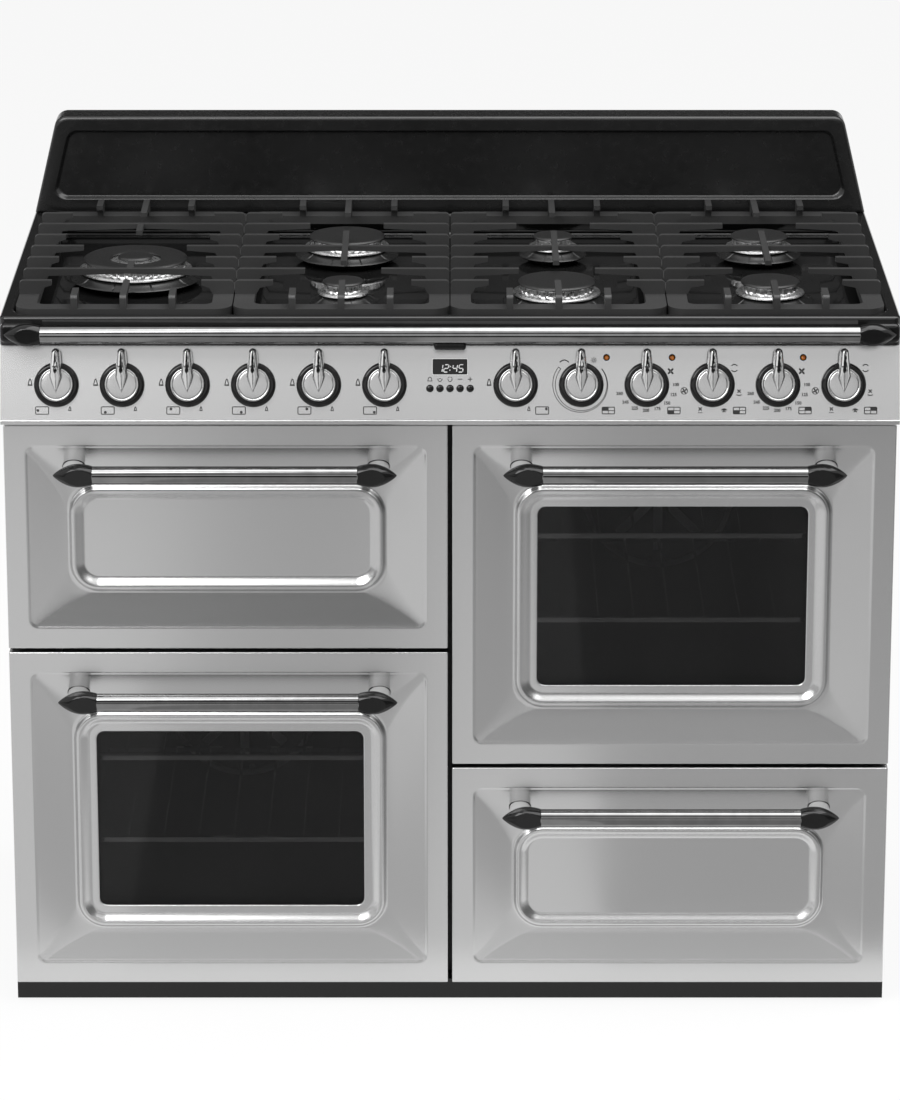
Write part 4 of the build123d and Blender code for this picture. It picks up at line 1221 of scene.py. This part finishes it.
# %% Raise the splashback
splash_taper = 31 * MM
splash_border = 18 * MM
splash_recess = 6 * MM
splash_wall = 3 * MM
splash_hollow = 9 * MM
edge_round = 5 * MM
field_corner = 14 * MM
outer_corners = np.array([1, 1, 16, 16]) * MM
(left, front, bottom), (right, rear, top) = corners_of("splashback")
top_left, top_right = left + splash_taper, right - splash_taper
trapezium = np.array([(left, bottom), (right, bottom), (top_right, top), (top_left, top)])
t = np.linspace(0, pi / 2, 6)
s = np.linspace(0, 1, 7)
ease = s ** 2 * (3 - 2 * s)
insets = np.concatenate([
    [splash_wall, splash_wall, 0], edge_round * (1 - np.cos(t)), splash_border + edge_round * s,
])
depths = np.concatenate([
    [front + splash_hollow, rear, rear], front + edge_round * (1 - np.sin(t)), front + splash_recess * ease,
])
radii = np.where(insets[:, None] < splash_border, outer_corners, field_corner)
outlines = [rounded_outline(inset_corners(trapezium, inset), corner) for inset, corner in zip(insets, radii)]
splash_mesh = make_mesh("splash", [stack(rings_across(1, outlines, depths))])
put("splash_panel", splash_mesh, splash_enamel, "body", "black_enamel", "splashback")

# %% [markdown]
# ## Burners
# A burner is three turned pieces: a black base on the hob, an aluminium head with gas ports and an enamelled
# cap. Ports could be cut one by one with a Boolean. A ripple is lighter: the radius of some rows of the
# profile steps in and out with the angle. The wok burner has a ring cap with a smaller cap inside it.

# %% Profiles of a burner
base_height, head_height = 18, 13
ripple_depth = 0.035


def at_edge(cap, rows):
    """Profile rows, given from the edge of the cap, moved out to it."""
    return np.array(rows) + np.array([cap, 0])


def base_profile(cap):
    """A burner base: a spigot through the hob, a narrow foot, a flared rim and a cone up to the head."""
    spigot = [(0, -25), (0.7 * cap, -25), (0.7 * cap, 0)]
    rim = [(3, 0), (5, 2), (13, 6), (17.2, 8.2), (18, 9.2), (17.2, 10)]
    cone = [(14, 11.2), (10, 13), (6.5, 15), (4.8, 16.2), (2, 17.4), (0, base_height)]
    return np.vstack([spigot, at_edge(cap, rim + cone), [(0, base_height)]]) * MM


def head_profile(cap):
    """A burner head: a bright flange, a neck, then the ported wall under the cap."""
    flange = [(4.6, 0), (6, 1), (5.6, 2.4), (2, 4.4), (-2.4, 5.4)]
    wall = [(-2.8, 6.4), (-2.6, 11.8), (-3.2, head_height)]
    return np.vstack([[(0, 0)], at_edge(cap, flange + wall), [(0, head_height)]]) * MM


def cap_profile(cap):
    """A burner cap: a slight dome with a rounded, undercut edge."""
    edge = [(-5, 4.5), (-2, 3.9), (-0.5, 2.9), (0, 1.9), (-0.7, 0.6), (-2.4, 0)]
    return np.vstack([[(0, 5.2), (0.5 * cap, 5)], at_edge(cap, edge), [(0, 0)]]) * MM


def ripple(count, first, last, bar):
    """Rows from first to last step in by a small share, at count places where a cosine is over the bar."""
    return lambda t, row: 1 - ripple_depth * (np.cos(count * t) > bar) * ((row >= first) & (row <= last))


wok_ring_profile = np.array([
    (32, 1.2), (34, 3), (44, 4.1), (58, 5), (63, 4.6), (65.4, 3.2), (66, 1.9), (65.2, 0.6), (63.4, 0),
    (34, 0),
]) * MM
inner_cone = np.array([(0, -1), (31, -1), (30.4, 0.4), (23, 2.6), (0, 2.6)]) * MM
burner_profiles = (base_profile, head_profile, cap_profile)
print("rows of a base, a head and a cap:", [len(profile(50)) for profile in burner_profiles])

# %% Turn the burners
side_margins = 34 * MM
burner_pitch = (hob_high[0] - hob_low[0] - side_margins) / 4
near_row, wok_row, far_row = (hob_low[1] + row * MM for row in (160, 282, 404))
small_cap, middle_cap, large_cap, wok_cap, inner_cap = 26, 37, 49, 66, 22
burners = [
    (-1.5, wok_row, wok_cap), (-0.5, near_row, small_cap), (-0.5, far_row, large_cap),
    (0.5, near_row, large_cap), (0.5, far_row, small_cap), (1.5, near_row, middle_cap),
    (1.5, far_row, middle_cap),
]
base_top = well_floor + base_height * MM
head_top = base_top + head_height * MM
inner_top = head_top + 2.4 * MM
port_pitch = 11
slits = ripple(10, 9, 11, 0.985)
bases, heads, caps = [], [], []
for step, y, cap in burners:
    x = step * burner_pitch
    ports = int(2 * pi * cap / port_pitch)
    port_steps = ripple(ports, 6, 8, 0.1)
    bases.append(turned(base_profile(cap), (x, y, well_floor), steps=360, ripple=slits))
    heads.append(turned(head_profile(cap), (x, y, base_top), steps=8 * ports, ripple=port_steps))
    if cap == wok_cap:
        heads.append(turned(inner_cone, (x, y, head_top), steps=96))
        caps.append(turned(wok_ring_profile, (x, y, head_top), steps=120, closed=True))
        caps.append(turned(cap_profile(inner_cap), (x, y, inner_top), steps=72))
    else:
        caps.append(turned(cap_profile(cap), (x, y, head_top), steps=96))
bowls = make_mesh("bowls", bases, sharp=30)
put("burner_bowls", bowls, splash_enamel, "body", "black_enamel", "burner_bases")
put("burner_crowns", make_mesh("crowns", heads, sharp=30), aluminium, "body", "aluminium", "burner_heads")
put("burner_lids", make_mesh("lids", caps), cap_enamel, "body", "cap_enamel", "burner_caps")

# %% [markdown]
# ## Pan stands
# The stands are iron castings, and their solids already have every bar and finger. What a casting lacks in a
# solid is its soft edges. So each stand is a copy of its solid, with its triangles merged into flat faces,
# and a Bevel modifier rounds every edge as a mould does.

# %% Cast the pan stands
for number in range(1, 5):
    name = f"pan_stand_{number}"
    mesh = nodes[name].data.copy()
    shape = bmesh.new()
    shape.from_mesh(mesh)
    bmesh.ops.remove_doubles(shape, verts=shape.verts, dist=0.01 * MM)
    bmesh.ops.dissolve_limit(shape, angle_limit=radians(1), verts=shape.verts, edges=shape.edges)
    shape.to_mesh(mesh)
    shape.free()
    mesh.materials.clear()
    mesh.shade_smooth()
    stand = put(f"{name}_casting", mesh, cast_iron, name, "cast_iron", name)
    bevel = stand.modifiers.new("soft_edges", "BEVEL")
    bevel.width = 1.4 * MM
    bevel.segments = 2
    bevel.limit_method = "ANGLE"
    bevel.angle_limit = radians(35)
    stand.modifiers.move(1, 0)

# %% [markdown]
# ## Stage
# A white studio: the floor and the world are white to the camera and in reflections, and the world lights
# the cooker at a plain level. An emission shader alone would be simpler, but it would light the cooker too
# strongly and swallow its shadow. So the ray's kind chooses between what is seen and what gives light.

# %% Floor and world
backdrop_white = (1, 1, 1, 1)
floor_reach = 40
floor_whiteness = 0.88
world_strength = 0.42


def seen_directly(tree):
    """A factor that is 1 for camera, glossy and transmission rays, and 0 for light that falls on things."""
    path = tree.nodes.new("ShaderNodeLightPath")
    first = tree.nodes.new("ShaderNodeMath")
    second = tree.nodes.new("ShaderNodeMath")
    first.operation = second.operation = "MAXIMUM"
    tree.links.new(path.outputs["Is Camera Ray"], first.inputs[0])
    tree.links.new(path.outputs["Is Glossy Ray"], first.inputs[1])
    tree.links.new(first.outputs[0], second.inputs[0])
    tree.links.new(path.outputs["Is Transmission Ray"], second.inputs[1])
    return second.outputs[0]


def light_world(strength):
    """A white world that shows at full white and lights at the given strength."""
    world = bpy.data.worlds.new("studio")
    bpy.context.scene.world = world
    world.use_nodes = True
    tree = world.node_tree
    tree.nodes.clear()
    light = tree.nodes.new("ShaderNodeBackground")
    light.inputs["Strength"].default_value = strength
    shown = tree.nodes.new("ShaderNodeBackground")
    for background in (light, shown):
        background.inputs["Color"].default_value = backdrop_white
    mix = tree.nodes.new("ShaderNodeMixShader")
    output = tree.nodes.new("ShaderNodeOutputWorld")
    tree.links.new(seen_directly(tree), mix.inputs["Fac"])
    tree.links.new(light.outputs[0], mix.inputs[1])
    tree.links.new(shown.outputs[0], mix.inputs[2])
    tree.links.new(mix.outputs[0], output.inputs["Surface"])


def stage_sheet(name, corners, material):
    """A flat sheet of the stage from its four corners."""
    mesh = bpy.data.meshes.new(name)
    mesh.from_pydata(corners, [], [(0, 1, 2, 3)])
    mesh.materials.append(material)
    sheet_object = add_object(name, mesh)
    return sheet_object


def floor_finish(whiteness):
    """A pale floor that keeps shadows and is lifted towards white where it is seen."""
    floor = Finish("floor")
    floor.set(Base_Color=(0.86, 0.86, 0.86, 1), Roughness=0.9, Specular_IOR_Level=0)
    glow = floor.node("ShaderNodeEmission")
    mix = floor.node("ShaderNodeMixShader")
    factor = floor.node("ShaderNodeMath", operation="MULTIPLY")
    factor.inputs[1].default_value = whiteness
    floor.link(seen_directly(floor.tree), factor.inputs[0])
    floor.link(factor.outputs[0], mix.inputs["Fac"])
    floor.link(floor.shader.outputs[0], mix.inputs[1])
    floor.link(glow.outputs[0], mix.inputs[2])
    floor.link(mix.outputs[0], floor.tree.nodes["Material Output"].inputs["Surface"])
    return floor.material


floor_corners = [(x * floor_reach, y * floor_reach, 0) for x, y in ((-1, -1), (1, -1), (1, 1), (-1, 1))]
stage_sheet("floor", floor_corners, floor_finish(floor_whiteness))
light_world(world_strength)
print("floor and world: world strength", world_strength)

# %% [markdown]
# Polished metal shows its form only by what it mirrors, and an empty white room would leave it flat. So grey
# cards stand where the camera can't see them: four strips on the floor make the broad bands in the steel, and
# upright ones make the dark lines along the chrome and keep the enamel black. Dark walls would do the same,
# but they would also dim the light and throw shadows. A card that only reflections see does neither.

# %% Cards
strip_edges = (-4, -0.42, -0.05, 0.2, 4)
strip_shades = (0.78, 0.52, 0.74, 0.46)
strip_front, strip_rear, strip_height = -7, -0.4, 0.02
card_half = 7
wall_cards = {
    "near_card": (-1, 0.68, 0.9, 0.1), "front_card": (-2.6, 0.45, 1.05, 0.2),
    "high_card": (-4, 2.7, 3.9, 0.12), "rear_card": (4, 1.2, 6, 0.04),
}


def add_card(name, corners, shade):
    """A card between four corners that shows one even shade, in reflections only."""
    finish = Finish("card")
    glow = finish.node("ShaderNodeEmission")
    glow.inputs["Color"].default_value = (shade, shade, shade, 1)
    finish.link(glow.outputs[0], finish.tree.nodes["Material Output"].inputs["Surface"])
    card = stage_sheet(name, corners, finish.material)
    for kind in ("camera", "diffuse", "shadow", "transmission"):
        setattr(card, f"visible_{kind}", False)


def upright_card(name, start, end, low, high, shade):
    """An upright card over the floor line from start to end, between two heights."""
    add_card(name, [(*start, low), (*end, low), (*end, high), (*start, high)], shade)


for number, shade in enumerate(strip_shades):
    left, right = strip_edges[number:number + 2]
    spots = ((left, strip_front), (right, strip_front), (right, strip_rear), (left, strip_rear))
    add_card(f"floor_card_{number + 1}", [(*spot, strip_height) for spot in spots], shade)
for name, (y, low, high, shade) in wall_cards.items():
    upright_card(name, (-card_half, y), (card_half, y), low, high, shade)
upright_card("right_card", (1.2, -2.4), (3, -0.9), 0.02, 2.2, 0.15)
print("cards:", len(strip_shades) + len(wall_cards) + 1)

# %% [markdown]
# ## Light and camera
# Two large soft lamps shape the cooker, one from the front left and one from above. The camera looks down a
# little with a long lens from far away, which keeps the front nearly square.


# %% Lamps and camera
def add_lamp(name, place, aim, size, power):
    """A soft square lamp at a place, turned to its aim."""
    lamp = bpy.data.lights.new(name, "AREA")
    lamp.size = size
    lamp.energy = power
    thing = add_object(name, lamp)
    thing.location = place
    look = np.array(aim) - np.array(place)
    thing.rotation_euler = (atan2(np.hypot(look[0], look[1]), -look[2]), 0, atan2(-look[0], look[1]))


add_lamp("key_lamp", (-1.6, -2.2, 3.4), (0, 0, 0.6), size=2.2, power=90)
add_lamp("top_lamp", (0.9, -0.4, 3.6), (0, 0, 0.8), size=3, power=95)

view_elevation = radians(16.9)
view_distance = 6.45
aim = np.array([0, -0.1, 0.55])
camera_data = bpy.data.cameras.new("camera")
camera_data.lens = 166
camera = add_object("camera", camera_data)
camera.location = aim + view_distance * np.array([0, -cos(view_elevation), sin(view_elevation)])
camera.rotation_euler = (pi / 2 - view_elevation, 0, 0)
bpy.context.scene.camera = camera
bpy.context.scene.view_settings.view_transform = "Standard"
print("camera at", [round(c, 3) for c in camera.location])

# %% [markdown]
